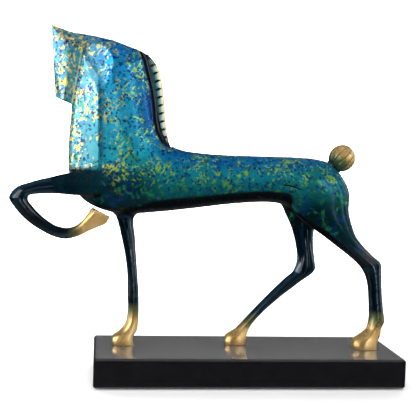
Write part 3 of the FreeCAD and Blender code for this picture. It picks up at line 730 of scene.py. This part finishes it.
# ------------------------------------------------------------------------------------------------
# Materials
# ------------------------------------------------------------------------------------------------
class Graph:
    """Small builder for the nodes of a material or a world."""

    def __init__(self, owner):
        owner.use_nodes = True
        self.nodes, self.links = owner.node_tree.nodes, owner.node_tree.links

    def put(self, socket, value):
        """Sets a plain number, place or colour on the socket itself and links anything else to it."""
        if isinstance(value, (int, float)):
            socket.default_value = value
        elif isinstance(value, tuple):
            socket.default_value = (*value, 1.0) if socket.type == "RGBA" else value
        else:
            self.links.new(value, socket)

    def node(self, kind, **inputs):
        node = self.nodes.new("ShaderNode" + kind)
        for key, value in inputs.items():
            self.put(node.inputs[key.replace("_", " ")], value)
        return node

    def part(self, vector, name):
        return self.node("SeparateXYZ", Vector=vector).outputs[name]

    def maths(self, operation, *values):
        node = self.nodes.new("ShaderNodeMath")
        node.operation = operation
        for socket, value in zip(node.inputs, values):
            self.put(socket, value)
        return node.outputs[0]

    def length(self, operation, *vectors):
        """Length of a vector, or distance between two."""
        node = self.nodes.new("ShaderNodeVectorMath")
        node.operation = operation
        for socket, value in zip(node.inputs, vectors):
            self.put(socket, value)
        return node.outputs["Value"]

    def times(self, first, second):
        return self.maths("MULTIPLY", first, second)

    def plus(self, first, second):
        return self.maths("ADD", first, second)

    def minus(self, first, second):
        return self.maths("SUBTRACT", first, second)

    def ramp(self, value, stops):
        """Colour or grey level by a value, from pairs of a place and a colour or level."""
        node = self.nodes.new("ShaderNodeValToRGB")
        elements = node.color_ramp.elements
        for _ in stops[2:]:
            elements.new(0.5)
        for element, (place, colour) in zip(elements, stops):
            element.position = place
            element.color = (*colour, 1.0) if isinstance(colour, tuple) else (colour, colour, colour, 1.0)
        self.put(node.inputs[0], value)
        return node.outputs[0]

    def ranged(self, value, low, high, to_low=0.0, to_high=1.0, kind="SMOOTHSTEP"):
        node = self.node("MapRange", Value=value, From_Min=low, From_Max=high, To_Min=to_low, To_Max=to_high)
        node.interpolation_type = kind
        return node.outputs[0]

    def mix(self, factor, first, second):
        node = self.nodes.new("ShaderNodeMix")
        node.data_type = "RGBA"
        for socket, value in zip([socket for socket in node.inputs if socket.enabled], (factor, first, second)):
            self.put(socket, value)
        return next(socket for socket in node.outputs if socket.enabled)


class Shader(Graph):
    """A material with one Principled surface."""

    def __init__(self, name):
        self.material = bpy.data.materials.new(name)
        super().__init__(self.material)
        self.nodes.clear()
        self.surface = self.node("BsdfPrincipled")
        self.links.new(self.surface.outputs[0], self.node("OutputMaterial").inputs[0])
        self.position = self.node("TexCoord").outputs["Object"]

    def set(self, **values):
        for key, value in values.items():
            self.put(self.surface.inputs[key.replace("_", " ")], value)

    def axis(self, name):
        return self.part(self.position, name)

    def facing(self, name="Z"):
        """How far the surface faces along an axis: 1 along it, -1 against it."""
        return self.part(self.node("NewGeometry").outputs["Normal"], name)

    def moved(self, offset):
        return self.node("Mapping", Location=offset, Vector=self.position).outputs[0]

    def noise(self, scale, detail=3.0, vector=None, distortion=0.0, out="Fac"):
        node = self.node("TexNoise", Scale=scale, Detail=detail, Distortion=distortion,
                         Vector=vector or self.position)
        return node.outputs[out]

    def ragged(self, value, scale, detail, amount):
        """A value made uneven from place to place."""
        return self.plus(value, self.times(self.minus(self.noise(scale, detail), 0.5), amount))

    def uneven(self, scale, detail, low, high):
        """A number that wanders between two levels."""
        return self.ranged(self.noise(scale, detail), 0.3, 0.7, low, high)

    def bump(self, height, strength, distance):
        self.set(Normal=self.node("Bump", Height=height, Strength=strength, Distance=distance).outputs[0])

    def finish(self, colour, roughness=None):
        self.set(Base_Color=colour)
        if roughness is not None:
            self.set(Roughness=roughness)
        return self.material


def along_curve(s, points, low_z, high_z, low_x, high_x):
    """x of a line in the side view at the surface's own height."""
    node = s.nodes.new("ShaderNodeFloatCurve")
    curve = node.mapping.curves[0]
    table = sorted(((z * MM - low_z) / (high_z - low_z), (x * MM - low_x) / (high_x - low_x))
                   for x, z in points)
    for _ in table[2:]:
        curve.points.new(0.5, 0.5)
    for point, (at, value) in zip(curve.points, table):
        point.location = min(max(at, 0.0), 1.0), min(max(value, 0.0), 1.0)
        point.handle_type = "VECTOR"
    node.mapping.update()
    s.put(node.inputs["Value"], s.ranged(s.axis("Z"), low_z, high_z, kind="LINEAR"))
    return s.ranged(node.outputs[0], 0.0, 1.0, low_x, high_x, kind="LINEAR")


def slanted(s, turn, factors, offset=(0.0, 0.0, 0.0)):
    """Coordinates turned in the side view and then stretched."""
    node = s.nodes.new("ShaderNodeMapping")
    node.vector_type = "TEXTURE"
    for key, value in (("Rotation", (0.0, math.radians(turn), 0.0)), ("Scale", factors), ("Location", offset),
                       ("Vector", s.position)):
        s.put(node.inputs[key], value)
    return node.outputs[0]


def warped(s, vector, scale, amount):
    """Coordinates pushed about by a noise."""
    node = s.nodes.new("ShaderNodeVectorMath")
    node.operation = "MULTIPLY_ADD"
    for socket, value in zip(node.inputs, (s.noise(scale, 2.0, out="Color"), (amount, amount, amount), vector)):
        s.put(socket, value)
    return node.outputs[0]


def body_ground(s):
    """Base colour of the patina by place: teal flanks, azure back, cyan throat, deep blue behind the ears. The
    height ramps also hold painted shade, going near black low on the belly and chest.
    """
    x, z = s.axis("X"), s.axis("Z")
    height = s.ragged(z, 34.0, 4.0, 0.022)
    # The ramps by height are partly the patina's own colours and partly painted shade: their lowest stops go
    # near black under the belly and the chest.
    barrel = s.ramp(s.ranged(height, 0.15, 0.25, kind="LINEAR"), [
        (0.0, (0.0008, 0.004, 0.006)), (0.28, (0.001, 0.01, 0.013)), (0.36, (0.0015, 0.04, 0.04)),
        (0.48, (0.003, 0.125, 0.125)), (0.64, (0.005, 0.23, 0.29)), (0.78, (0.003, 0.19, 0.43)),
        (1.0, (0.002, 0.11, 0.42))])
    neck = s.ramp(s.ranged(height, 0.17, 0.36, kind="LINEAR"), [
        (0.0, (0.001, 0.012, 0.018)), (0.16, (0.0015, 0.03, 0.04)), (0.24, (0.004, 0.1, 0.12)),
        (0.32, (0.012, 0.34, 0.44)), (0.5, (0.018, 0.38, 0.54)), (0.78, (0.01, 0.27, 0.54)),
        (0.9, (0.006, 0.22, 0.62)), (1.0, (0.004, 0.16, 0.5))])
    ground = s.mix(s.ranged(s.ragged(x, 34.0, 4.0, 0.022), -0.085, -0.12), barrel, neck)
    rear = s.times(s.ranged(x, -0.142, -0.104), s.ranged(x, -0.07, -0.09))
    ground = s.mix(s.times(rear, s.ranged(z, 0.235, 0.27)), ground, (0.0005, 0.048, 0.19))
    # Partly painted highlight: the throat and front facet get a pale cyan-grey that stands in for some of the
    # key lamp's light on them, over their own paler patina.
    throat = s.times(s.ranged(x, -0.150, -0.172), s.ranged(z, 0.2, 0.235))
    ground = s.mix(s.times(throat, 0.8), ground, (0.1, 0.29, 0.33))
    rump = s.times(s.ranged(x, 0.05, 0.1), s.ranged(z, 0.235, 0.2))
    return s.mix(s.times(rump, 0.65), ground, (0.002, 0.035, 0.045))


def flecks(s, vector, scale, low, clusters, shift):
    """Strokes: the peaks of a stretched noise, kept only inside clusters."""
    strokes = s.ranged(s.noise(scale, 1.0, vector), low, low + 0.035)
    where = s.noise(clusters, 2.0, s.moved(shift))
    return s.times(strokes, s.ranged(where, 0.47, 0.54))


def blue_patina(s):
    """Ground with soft green clouds, yellow strokes and indigo spots."""
    x, z = s.axis("X"), s.axis("Z")
    ground = body_ground(s)
    clouds = s.ranged(s.noise(75.0, 3.0, s.moved((7.0, 3.0, 1.0)), 0.6), 0.58, 0.68)
    ground = s.mix(s.times(clouds, 0.7), ground, (0.02, 0.24, 0.1))
    deep = s.ranged(s.noise(95.0, 4.0, s.moved((1.0, 9.0, 4.0))), 0.52, 0.66)
    ground = s.mix(s.times(deep, 0.35), ground, (0.002, 0.05, 0.22))
    belt = s.plus(z, s.times(s.ranged(x, -0.12, -0.165), -0.02))
    lower = s.ranged(belt, 0.18, 0.205)
    front = s.ranged(x, -0.12, -0.185)
    green = s.mix(s.ranged(z, 0.19, 0.23), (0.04, 0.24, 0.02), (0.28, 0.52, 0.05))
    yellow = s.mix(front, green, (0.95, 0.68, 0.12))
    lean = warped(s, slanted(s, 35.0, (1.0, 1.0, 2.8)), 220.0, 0.0035)
    across = warped(s, slanted(s, -50.0, (1.0, 1.0, 2.6), (0.01, 0.02, 0.03)), 220.0, 0.0035)
    strokes = s.maths("MAXIMUM", flecks(s, lean, 400.0, 0.575, 46.0, (0.7, 2.1, 5.3)),
                      flecks(s, across, 370.0, 0.585, 40.0, (3.7, 0.1, 2.3)))
    upright = warped(s, slanted(s, 8.0, (1.0, 1.0, 2.0), (0.04, 0.0, 0.02)), 120.0, 0.006)
    smears = s.times(flecks(s, upright, 280.0, 0.6, 42.0, (2.2, 0.4, 8.1)), front)
    strokes = s.maths("MAXIMUM", strokes, smears)
    colour = s.mix(s.times(strokes, s.times(lower, 0.92)), ground, yellow)
    cells = s.node("TexVoronoi", Scale=270.0, Vector=warped(s, s.position, 300.0, 0.004))
    small = s.ranged(cells.outputs["Distance"], 0.4, 0.28)
    small = s.times(small, s.ranged(s.noise(70.0, 2.0, s.moved((4.0, 0.2, 1.3))), 0.4, 0.47))
    large = s.ranged(s.noise(290.0, 1.5, slanted(s, 70.0, (1.0, 1.0, 1.7), (0.05, 0.04, 0.01))), 0.64, 0.67)
    dark = s.maths("MAXIMUM", small, large)
    return s.mix(s.times(dark, s.times(s.ranged(belt, 0.178, 0.2), 0.85)), colour, (0.006, 0.012, 0.13))


# Painted reflections on a leg: colour by the turn of its surface, from one side (0) to the other (1)
LEG_PAINTED_REFLECTIONS = [
    (0.0, (0.002, 0.02, 0.035)), (0.13, (0.014, 0.055, 0.09)), (0.2, (0.001, 0.014, 0.026)),
    (0.34, (0.0002, 0.001, 0.002)), (0.42, (0.0015, 0.024, 0.042)), (0.5, (0.0002, 0.0016, 0.004)),
    (0.62, (0.001, 0.016, 0.03)), (0.74, (0.018, 0.065, 0.1)), (0.8, (0.0004, 0.003, 0.006)),
    (1.0, (0.002, 0.02, 0.035)),
]


def dark_patina(s):
    """Blue-black lacquer of the legs."""
    return s.ramp(s.noise(45.0, 3.0), [(0.35, (0.0006, 0.006, 0.013)), (0.7, (0.001, 0.018, 0.036))])


def painted_underside_shade(s, colour):
    """Painted shade: the colour goes almost black wherever the surface faces down, less so under the chest."""
    chest = s.times(s.ranged(s.axis("X"), -0.095, -0.14), 0.3)
    return s.mix(s.ranged(s.plus(s.facing(), chest), -0.36, -0.5), colour, (0.0006, 0.003, 0.005))


def painted_plane_shading(s, colour):
    """Painted shade in darker teal in the valley at the jaw and behind the neck's facet, and a painted
    highlight along the jaw line.
    """
    x, z = s.axis("X"), s.axis("Z")
    upper = s.ranged(z, 0.2815, 0.284)
    ahead = s.minus(along_curve(s, JAW_LINE, 0.205, 0.356, -0.2, -0.17), x)
    # Painted shade in the hollow just ahead of the jaw line.
    valley = s.times(s.ranged(ahead, 0.0002, 0.001), s.ranged(ahead, 0.0088, 0.0074))
    valley = s.times(s.times(valley, upper), s.ranged(z, 0.344, 0.338))
    colour = s.mix(s.times(valley, 0.6), colour, (0.008, 0.1, 0.09))
    # Painted highlight along the crisp edge of the jaw line.
    line = s.times(s.ranged(s.maths("ABSOLUTE", ahead), 0.001, 0.0003), s.ranged(z, 0.338, 0.33))
    line = s.times(line, upper)
    colour = s.mix(s.times(line, 0.6), colour, (0.45, 0.6, 0.5))
    # Painted shade where the neck turns away behind the facet's edge.
    behind = s.minus(x, along_curve(s, FACET_EDGE, 0.205, 0.335, -0.18, -0.158))
    ragged = s.ragged(behind, 160.0, 3.0, 0.004)
    shade = s.times(s.ranged(ragged, -0.0004, 0.0006), s.ranged(ragged, 0.0075, 0.003))
    shade = s.times(shade, s.times(s.ranged(z, 0.222, 0.232), s.ranged(z, 0.345, 0.333)))
    return s.mix(s.times(shade, 0.65), colour, (0.003, 0.06, 0.12))


def painted_leg_reflections(s, colour):
    """Painted highlights and shade: lighter and darker lines that run down a leg, by the way its surface turns,
    standing in for the studio's reflections in the lacquer.
    """
    turn = s.minus(s.times(s.facing("X"), 0.8), s.times(s.facing(), 0.75))
    return s.mix(0.8, colour, s.ramp(s.ranged(turn, -1.0, 1.0, kind="LINEAR"), LEG_PAINTED_REFLECTIONS))


def lacquer(s, coat=0.1):
    s.set(Metallic=0.66, Specular_IOR_Level=0.12, Coat_Weight=coat, Coat_Roughness=0.04)
    s.bump(s.noise(260.0, 3.0), 0.06, 0.0005)
    return s.uneven(90.0, 3.0, 0.24, 0.34)


def body_surface():
    """Trunk, head and neck, with the channel beside the mane painted near black as shade."""
    s = Shader("blue_lacquer_surface")
    x, z = s.axis("X"), s.axis("Z")
    # Painted shade: the channel is coloured near black, with a lighter grey-mauve line along its bead.
    behind = s.minus(x, along_curve(s, CHANNEL_EDGE, 0.24, 0.34, -0.13, -0.08))
    channel = s.times(s.ranged(behind, -0.0004, 0.0006), s.ranged(z, 0.2404, 0.2425))
    bead = s.times(s.ranged(behind, 0.0024, 0.0032), s.ranged(behind, 0.0046, 0.0038))
    black = s.mix(bead, (0.003, 0.005, 0.011), (0.075, 0.07, 0.1))
    root = s.times(s.ranged(x, -0.138, -0.166), s.ranged(z, 0.2185, 0.2145))
    shade = s.mix(s.ranged(x, -0.164, -0.188), (0.0012, 0.024, 0.034), (0.0007, 0.011, 0.023))
    skin = s.mix(s.times(root, 0.94), painted_plane_shading(s, blue_patina(s)), shade)
    return s.finish(s.mix(channel, painted_underside_shade(s, skin), black), lacquer(s))


def leg_surface(name, root, reach):
    """Dark lacquer that takes up the body's pattern between two distances from the leg's root."""
    s = Shader(name)
    near = s.ranged(s.length("DISTANCE", s.position, root), reach[1], reach[0])
    roughness = lacquer(s)
    s.set(Coat_Weight=s.minus(0.9, s.times(near, 0.8)))
    return s.finish(painted_underside_shade(s, s.mix(near, painted_leg_reflections(s, dark_patina(s)), blue_patina(s))), roughness)


def hoof_surface(name, axis, start, full, painted_brightness=1.0):
    """Dark lacquer that thins through green to worn gold bronze between two places along an axis."""
    s = Shader(name)
    share = s.ranged(s.ragged(s.axis(axis), 140.0, 3.0, 0.008), start, full, kind="LINEAR")
    # painted_brightness scales the gold as painted light: the raised hoof's gold is made paler for the light it
    # catches.
    gold = s.ramp(s.noise(70.0, 2.0), [(0.3, (0.66 * painted_brightness, 0.4 * painted_brightness, 0.13 * painted_brightness)),
                                       (0.7, (0.85 * painted_brightness, 0.58 * painted_brightness, 0.23 * painted_brightness))])
    worn = s.ramp(share, [(0.0, 0.0), (0.25, 0.12), (0.7, 1.0)])
    colour = s.mix(worn, painted_leg_reflections(s, dark_patina(s)), gold)
    tint = s.ramp(share, [(0.0, 0.0), (0.35, 0.75), (0.75, 0.0)])
    colour = s.mix(tint, colour, (0.07, 0.12, 0.03))
    s.set(Metallic=0.8, Specular_IOR_Level=0.3, Coat_Weight=0.7, Coat_Roughness=0.06)
    s.bump(s.noise(260.0, 3.0), 0.05, 0.0004)
    return s.finish(colour, s.uneven(120.0, 3.0, 0.26, 0.36))


def crest_surface():
    """Pale gold along the mane's outer edge, cream and teal further in, dark at both ends."""
    s = Shader("crest_surface")
    x, z = s.axis("X"), s.axis("Z")
    depth = s.minus(along_curve(s, CREST_OUTER, 0.24, 0.34, -0.13, -0.08), x)
    colour = s.ramp(s.ranged(s.ragged(depth, 300.0, 2.0, 0.0016), 0.0, 0.009, kind="LINEAR"), [
        (0.0, (0.6, 0.4, 0.2)), (0.16, (0.86, 0.68, 0.42)), (0.36, (0.72, 0.76, 0.6)), (0.55, (0.2, 0.42, 0.4)),
        (0.8, (0.02, 0.09, 0.1))])
    ends = s.maths("MAXIMUM", s.ranged(z, 0.318, 0.331), s.ranged(z, 0.262, 0.244))
    colour = s.mix(s.times(ends, 0.85), colour, (0.01, 0.07, 0.075))
    s.set(Metallic=0.45, Coat_Weight=0.3, Coat_Roughness=0.1)
    return s.finish(colour, s.uneven(200.0, 2.0, 0.28, 0.4))


def notch_painted_shade():
    s = Shader("notch_painted_shade")
    s.set(Metallic=0.2)
    # Painted shade: the faces inside the notches get a near-black teal for the shade in the cuts.
    colour = s.ramp(s.noise(300.0, 2.0), [(0.3, (0.002, 0.012, 0.014)), (0.7, (0.006, 0.03, 0.032))])
    return s.finish(colour, s.uneven(200.0, 2.0, 0.35, 0.5))


def knob_surface():
    """Green at the collar, clearing to gold, with the flutes left dark."""
    s = Shader("knob_surface")
    ax = Vector((TAIL_AXIS[0], 0.0, TAIL_AXIS[1])).normalized()
    foot = Vector((TAIL_FOOT[0], MID, TAIL_FOOT[1])) * MM

    def along_axis(direction):
        total = s.times(s.axis("X"), direction.x)
        total = s.plus(total, s.times(s.axis("Z"), direction.z))
        return s.minus(total, foot.dot(direction))

    height = along_axis(ax)
    angle = s.maths("ARCTAN2", s.minus(s.axis("Y"), foot.y), along_axis(Vector((ax.z, 0.0, -ax.x))))
    turn = s.times(angle, 0.5 * KNOB_FLUTES)
    lean = s.times(s.minus(height, KNOB_LIFT * MM), 0.5 * KNOB_TWIST / (KNOB[-1][1] * MM))
    cusp = s.maths("ABSOLUTE", s.maths("SINE", s.plus(turn, lean)))
    flute = s.ranged(s.ragged(cusp, 200.0, 3.0, 0.3), 0.3, 0.06)
    mottled = s.ragged(height, 110.0, 3.0, 0.012)
    colour = s.ramp(s.ranged(mottled, 0.002, 0.026, kind="LINEAR"), [
        (0.0, (0.01, 0.035, 0.018)), (0.3, (0.08, 0.12, 0.04)), (0.55, (0.42, 0.28, 0.1)),
        (0.85, (0.66, 0.44, 0.18))])
    colour = s.mix(s.times(flute, 0.85), colour, (0.03, 0.035, 0.012))
    s.set(Metallic=0.6, Specular_IOR_Level=0.3, Coat_Weight=0.6, Coat_Roughness=0.06)
    s.bump(s.noise(260.0, 3.0), 0.08, 0.0004)
    return s.finish(colour, s.uneven(150.0, 3.0, 0.24, 0.34))


def brass(name, light, dark, roughness_range=(0.22, 0.36)):
    s = Shader(name)
    colour = s.ramp(s.noise(110.0, 4.0), [(0.3, dark), (0.7, light)])
    s.set(Metallic=1.0)
    s.bump(s.noise(420.0, 3.0), 0.1, 0.0004)
    return s.finish(colour, s.uneven(160.0, 3.0, *roughness_range))


def stone(name):
    s = Shader(name)
    grain = s.noise(900.0, 3.0)
    # Painted light: the top is a far paler grey than the near-black sides, standing in for the light the
    # polished top reflects.
    sides = s.ramp(grain, [(0.45, (0.004, 0.004, 0.005)), (0.75, (0.014, 0.014, 0.016))])
    top = s.ramp(grain, [(0.45, (0.104, 0.104, 0.105)), (0.75, (0.12, 0.12, 0.122))])
    colour = s.mix(s.ranged(s.facing(), 0.6, 0.95), sides, top)
    s.set(Metallic=0.0, IOR=1.6, Coat_Weight=0.5, Coat_Roughness=0.02)
    return s.finish(colour, s.uneven(60.0, 2.0, 0.05, 0.09))


def cloth(name):
    s = Shader(name)
    colour = s.ramp(s.noise(1600.0, 3.0), [(0.3, (0.006, 0.006, 0.006)), (0.7, (0.02, 0.02, 0.02))])
    s.set(Roughness=0.95, Sheen_Weight=0.4)
    s.bump(s.noise(2200.0, 2.0), 0.5, 0.0004)
    return s.finish(colour)


def steel(name):
    s = Shader(name)
    colour = s.ramp(s.noise(300.0, 3.0), [(0.3, (0.42, 0.43, 0.45)), (0.7, (0.58, 0.59, 0.6))])
    s.set(Metallic=1.0)
    return s.finish(colour, s.uneven(500.0, 2.0, 0.28, 0.42))


def plain_floor(name):
    """Pale paper that stays pale far from the lights."""
    s = Shader(name)
    colour = s.ramp(s.noise(2.0, 2.0), [(0.0, (0.9, 0.9, 0.9)), (1.0, (0.92, 0.92, 0.92))])
    s.set(Roughness=0.9, Specular_IOR_Level=0.1, Emission_Color=(1.0, 1.0, 1.0))
    s.set(Emission_Strength=s.ranged(s.length("LENGTH", s.position), 0.25, 1.3, 0.02, 0.75))
    return s.finish(colour)


def pale_wall(name):
    s = Shader(name)
    s.set(Roughness=1.0, Specular_IOR_Level=0.0, Emission_Color=(1.0, 1.0, 1.0), Emission_Strength=1.0)
    return s.finish(s.ramp(s.noise(2.0, 2.0), [(0.0, (0.9, 0.9, 0.9)), (1.0, (0.92, 0.92, 0.92))]))


# ------------------------------------------------------------------------------------------------
# Stage, lights, camera
# ------------------------------------------------------------------------------------------------
def backdrop():
    """Pale floor that sweeps up behind the object."""
    front, rear, bend, top, half_width = -2.6, 1.0, 0.6, 3.0, 4.0
    profile = [(front, 0.0), (rear, 0.0)]
    profile += [(rear + bend * math.sin(a), bend - bend * math.cos(a))
                for a in np.linspace(0.1, math.pi / 2, 14)]
    profile += [(rear + bend, top)]
    verts = [(x, y, z) for y, z in profile for x in (-half_width, half_width)]
    faces = [(2 * i, 2 * i + 1, 2 * i + 3, 2 * i + 2) for i in range(len(profile) - 1)]
    mesh = bpy.data.meshes.new("backdrop")
    mesh.from_pydata(verts, [], faces)
    mesh.materials.append(plain_floor("stage_floor"))
    for polygon in mesh.polygons:
        polygon.use_smooth = True
    sweep = show("backdrop", mesh)
    sweep.visible_glossy = False


def surround():
    """Plain pale wall and ceiling all round the stage, which light and reflections pass through."""
    radius, height, around = 3.0, 3.2, 64
    rings = [[(r * math.cos(a), r * math.sin(a), z) for a in np.arange(around) * 2.0 * math.pi / around]
             for r, z in ((radius, -0.05), (radius, height), (0.1, height + 0.4))]
    mesh = bpy.data.meshes.new("surround")
    mesh.from_pydata([p for ring in rings for p in ring], [], ring_faces(around, len(rings)).tolist())
    mesh.materials.append(pale_wall("stage_wall"))
    wall = show("surround", mesh)
    wall.visible_glossy = False
    wall.visible_diffuse = False
    wall.visible_shadow = False


def softbox(name, place, aim, size, power, mirrored=True, spread=180.0):
    """Rectangular lamp of a size in metres and a power in watts, aimed at a point."""
    light = bpy.data.lights.new(name, "AREA")
    light.shape = "RECTANGLE"
    light.size, light.size_y = size
    light.energy = power
    light.spread = math.radians(spread)
    lamp = bpy.data.objects.new(name, light)
    bpy.context.scene.collection.objects.link(lamp)
    lamp.location = place
    lamp.visible_glossy = mirrored
    lamp.rotation_euler = (Vector(aim) - Vector(place)).to_track_quat("-Z", "Y").to_euler()


# Light by height of the direction, from straight down (0) to straight up (1)
SKY = [(0.0, 0.3), (0.18, 0.16), (0.3, 0.01), (0.5, 0.012), (0.58, 0.06), (0.66, 0.16), (0.8, 0.06), (1.0, 0.1)]
# Upright strips of light round the horizon: direction in turns from the viewer's side, half width, strength
STRIPS = [(-0.34, 0.009, 7.0), (-0.27, 0.009, 9.0), (-0.18, 0.009, 10.0), (-0.1, 0.008, 9.0),
          (0.08, 0.008, 8.0), (0.16, 0.009, 10.0), (0.24, 0.01, 10.0), (0.33, 0.009, 9.0)]
# Share of the strips' light by height of the direction
STRIP_REACH = [(0.38, 0.0), (0.44, 1.0), (0.68, 1.0), (0.78, 0.0)]


def sky():
    world = bpy.data.worlds.new("studio")
    g = Graph(world)
    direction = g.node("TexCoord").outputs["Generated"]
    height = g.maths("MULTIPLY_ADD", g.part(direction, "Z"), 0.5, 0.5)
    turn = g.maths("ARCTAN2", g.part(direction, "X"), g.times(g.part(direction, "Y"), -1.0))
    turn = g.maths("MULTIPLY_ADD", turn, 0.5 / math.pi, 0.5)
    stops = []
    for at, half_width, level in STRIPS:
        stops += [(0.5 + at - half_width, 0.0), (0.5 + at, level), (0.5 + at + half_width, 0.0)]
    strips = g.times(g.ramp(turn, stops), g.ramp(height, STRIP_REACH))
    g.put(g.nodes["Background"].inputs[0], g.plus(strips, g.ramp(height, SKY)))
    bpy.context.scene.world = world


def studio():
    sky()
    centre = (-0.04, 0.0, 0.2)
    softbox("key", (-1.25, -0.7, 0.55), centre, (0.7, 1.0), 7.0)
    softbox("top", (-0.1, -0.2, 1.5), centre, (1.3, 0.7), 12.5, False)
    softbox("fill", (1.2, -1.2, 0.7), centre, (0.5, 1.0), 1.2)
    softbox("front", (-0.6, -1.7, 0.7), centre, (1.2, 1.2), 16.0, False)
    softbox("back", (0.0, 0.9, 1.5), (0.0, 1.6, 0.5), (3.0, 0.5), 60.0, False, 130.0)


CAMERA_PLACE = (-0.1604, -0.93491, 0.24975)
CAMERA_YAW = math.radians(7.055)
CAMERA_PITCH = math.radians(-4.208)
CAMERA_ROLL = math.radians(1.947)
CAMERA_SENSOR = 36.0    # width and focal length, in millimetres
CAMERA_LENS = 77.88


def camera():
    right = Vector((math.cos(CAMERA_YAW), -math.sin(CAMERA_YAW), 0.0))
    level = math.cos(CAMERA_PITCH)
    forward = Vector((math.sin(CAMERA_YAW) * level, math.cos(CAMERA_YAW) * level, math.sin(CAMERA_PITCH)))
    up = right.cross(forward)
    turned_right = math.cos(CAMERA_ROLL) * right + math.sin(CAMERA_ROLL) * up
    turned_up = -math.sin(CAMERA_ROLL) * right + math.cos(CAMERA_ROLL) * up
    data = bpy.data.cameras.new("camera")
    data.sensor_width = CAMERA_SENSOR
    data.lens = CAMERA_LENS
    view = bpy.data.objects.new("camera", data)
    bpy.context.scene.collection.objects.link(view)
    view.matrix_world = Matrix.Translation(CAMERA_PLACE) @ Matrix(
        (turned_right, turned_up, -forward)).transposed().to_4x4()
    bpy.context.scene.camera = view


# ------------------------------------------------------------------------------------------------
# Assembly
# ------------------------------------------------------------------------------------------------
def dress_cad_nodes():
    """Materials of the CAD nodes that stay as they are."""
    bare = brass("raw_bronze_surface", (0.5, 0.32, 0.14), (0.38, 0.24, 0.1), (0.35, 0.5))
    looks = {
        "stone_slab": stone("black_stone_painted_light_top"),
        "felt_sheet": cloth("black_felt_surface"),
        "neck_backing_ring": bare,
        "leg_dowels": bare,
        "crest_pins": bare,
    }
    metal = steel("steel_surface")
    for node in ("tail_stud", "mounting_studs", "mounting_washers", "mounting_nuts"):
        looks[node] = metal
    for node, material in looks.items():
        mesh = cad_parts[node].data
        mesh.materials.clear()
        mesh.materials.append(material)


def build():
    scene = bpy.context.scene
    scene.view_settings.view_transform = "Standard"
    backdrop()
    surround()
    studio()
    camera()
    dress_cad_nodes()
    pieces = horse_pieces()
    body = body_surface()
    fitted(pieces["trunk"], "trunk_casting", body)
    fitted(pieces["head_and_neck"], "head_and_neck_casting", body)
    # centre of each root, and the distances from it between which the body's pattern fades
    roots = {
        "near_hind_leg": ((0.082, -0.015, 0.205), (0.052, 0.088)),
        "far_hind_leg": ((0.055, 0.015, 0.215), (0.03, 0.045)),
        "standing_foreleg": ((-0.13, 0.01, 0.215), (0.03, 0.046)),
        "raised_foreleg": ((-0.14, -0.02, 0.21), (0.01, 0.03)),
    }
    for name, (root, reach) in roots.items():
        surface = leg_surface(name + "_surface", root, reach)
        fitted(pieces[name + "_upper"], name + "_upper", surface)
    # axis, where the bronze starts to show and where it is bare, and a painted brightness that makes the raised
    # hoof's gold paler as painted light
    hooves = {
        "near_hind_leg": ("Z", 0.074, 0.047),
        "far_hind_leg": ("Z", 0.066, 0.043),
        "standing_foreleg": ("Z", 0.078, 0.05),
        "raised_foreleg": ("X", -0.19, -0.168, 1.35),
    }
    for name, fade in hooves.items():
        surface = hoof_surface(name + "_hoof_surface", *fade)
        fitted(pieces[name + "_lower"], name + "_lower", surface)
    fin, cuts = crest()
    fitted(fin, "mane_crest", crest_surface())
    fin.data.materials.append(notch_painted_shade())
    # The notch faces take the painted shade.
    for face in fin.data.polygons:
        if all(v < len(cuts) and cuts[v] for v in face.vertices):
            face.material_index = 1
    bud = turned("tail_knob_bud", KNOB, KNOB_RING, KNOB_FLUTES, FLUTE_DEPTH, KNOB_TWIST, KNOB_LIFT)
    fitted(bud, "tail_knob", knob_surface())
    band = leg_surface("tail_collar_surface", (0.0, 0.0, 0.0), (0.001, 0.002))
    fitted(turned("tail_collar_band", COLLAR, COLLAR_RING), "tail_collar", band)


build()
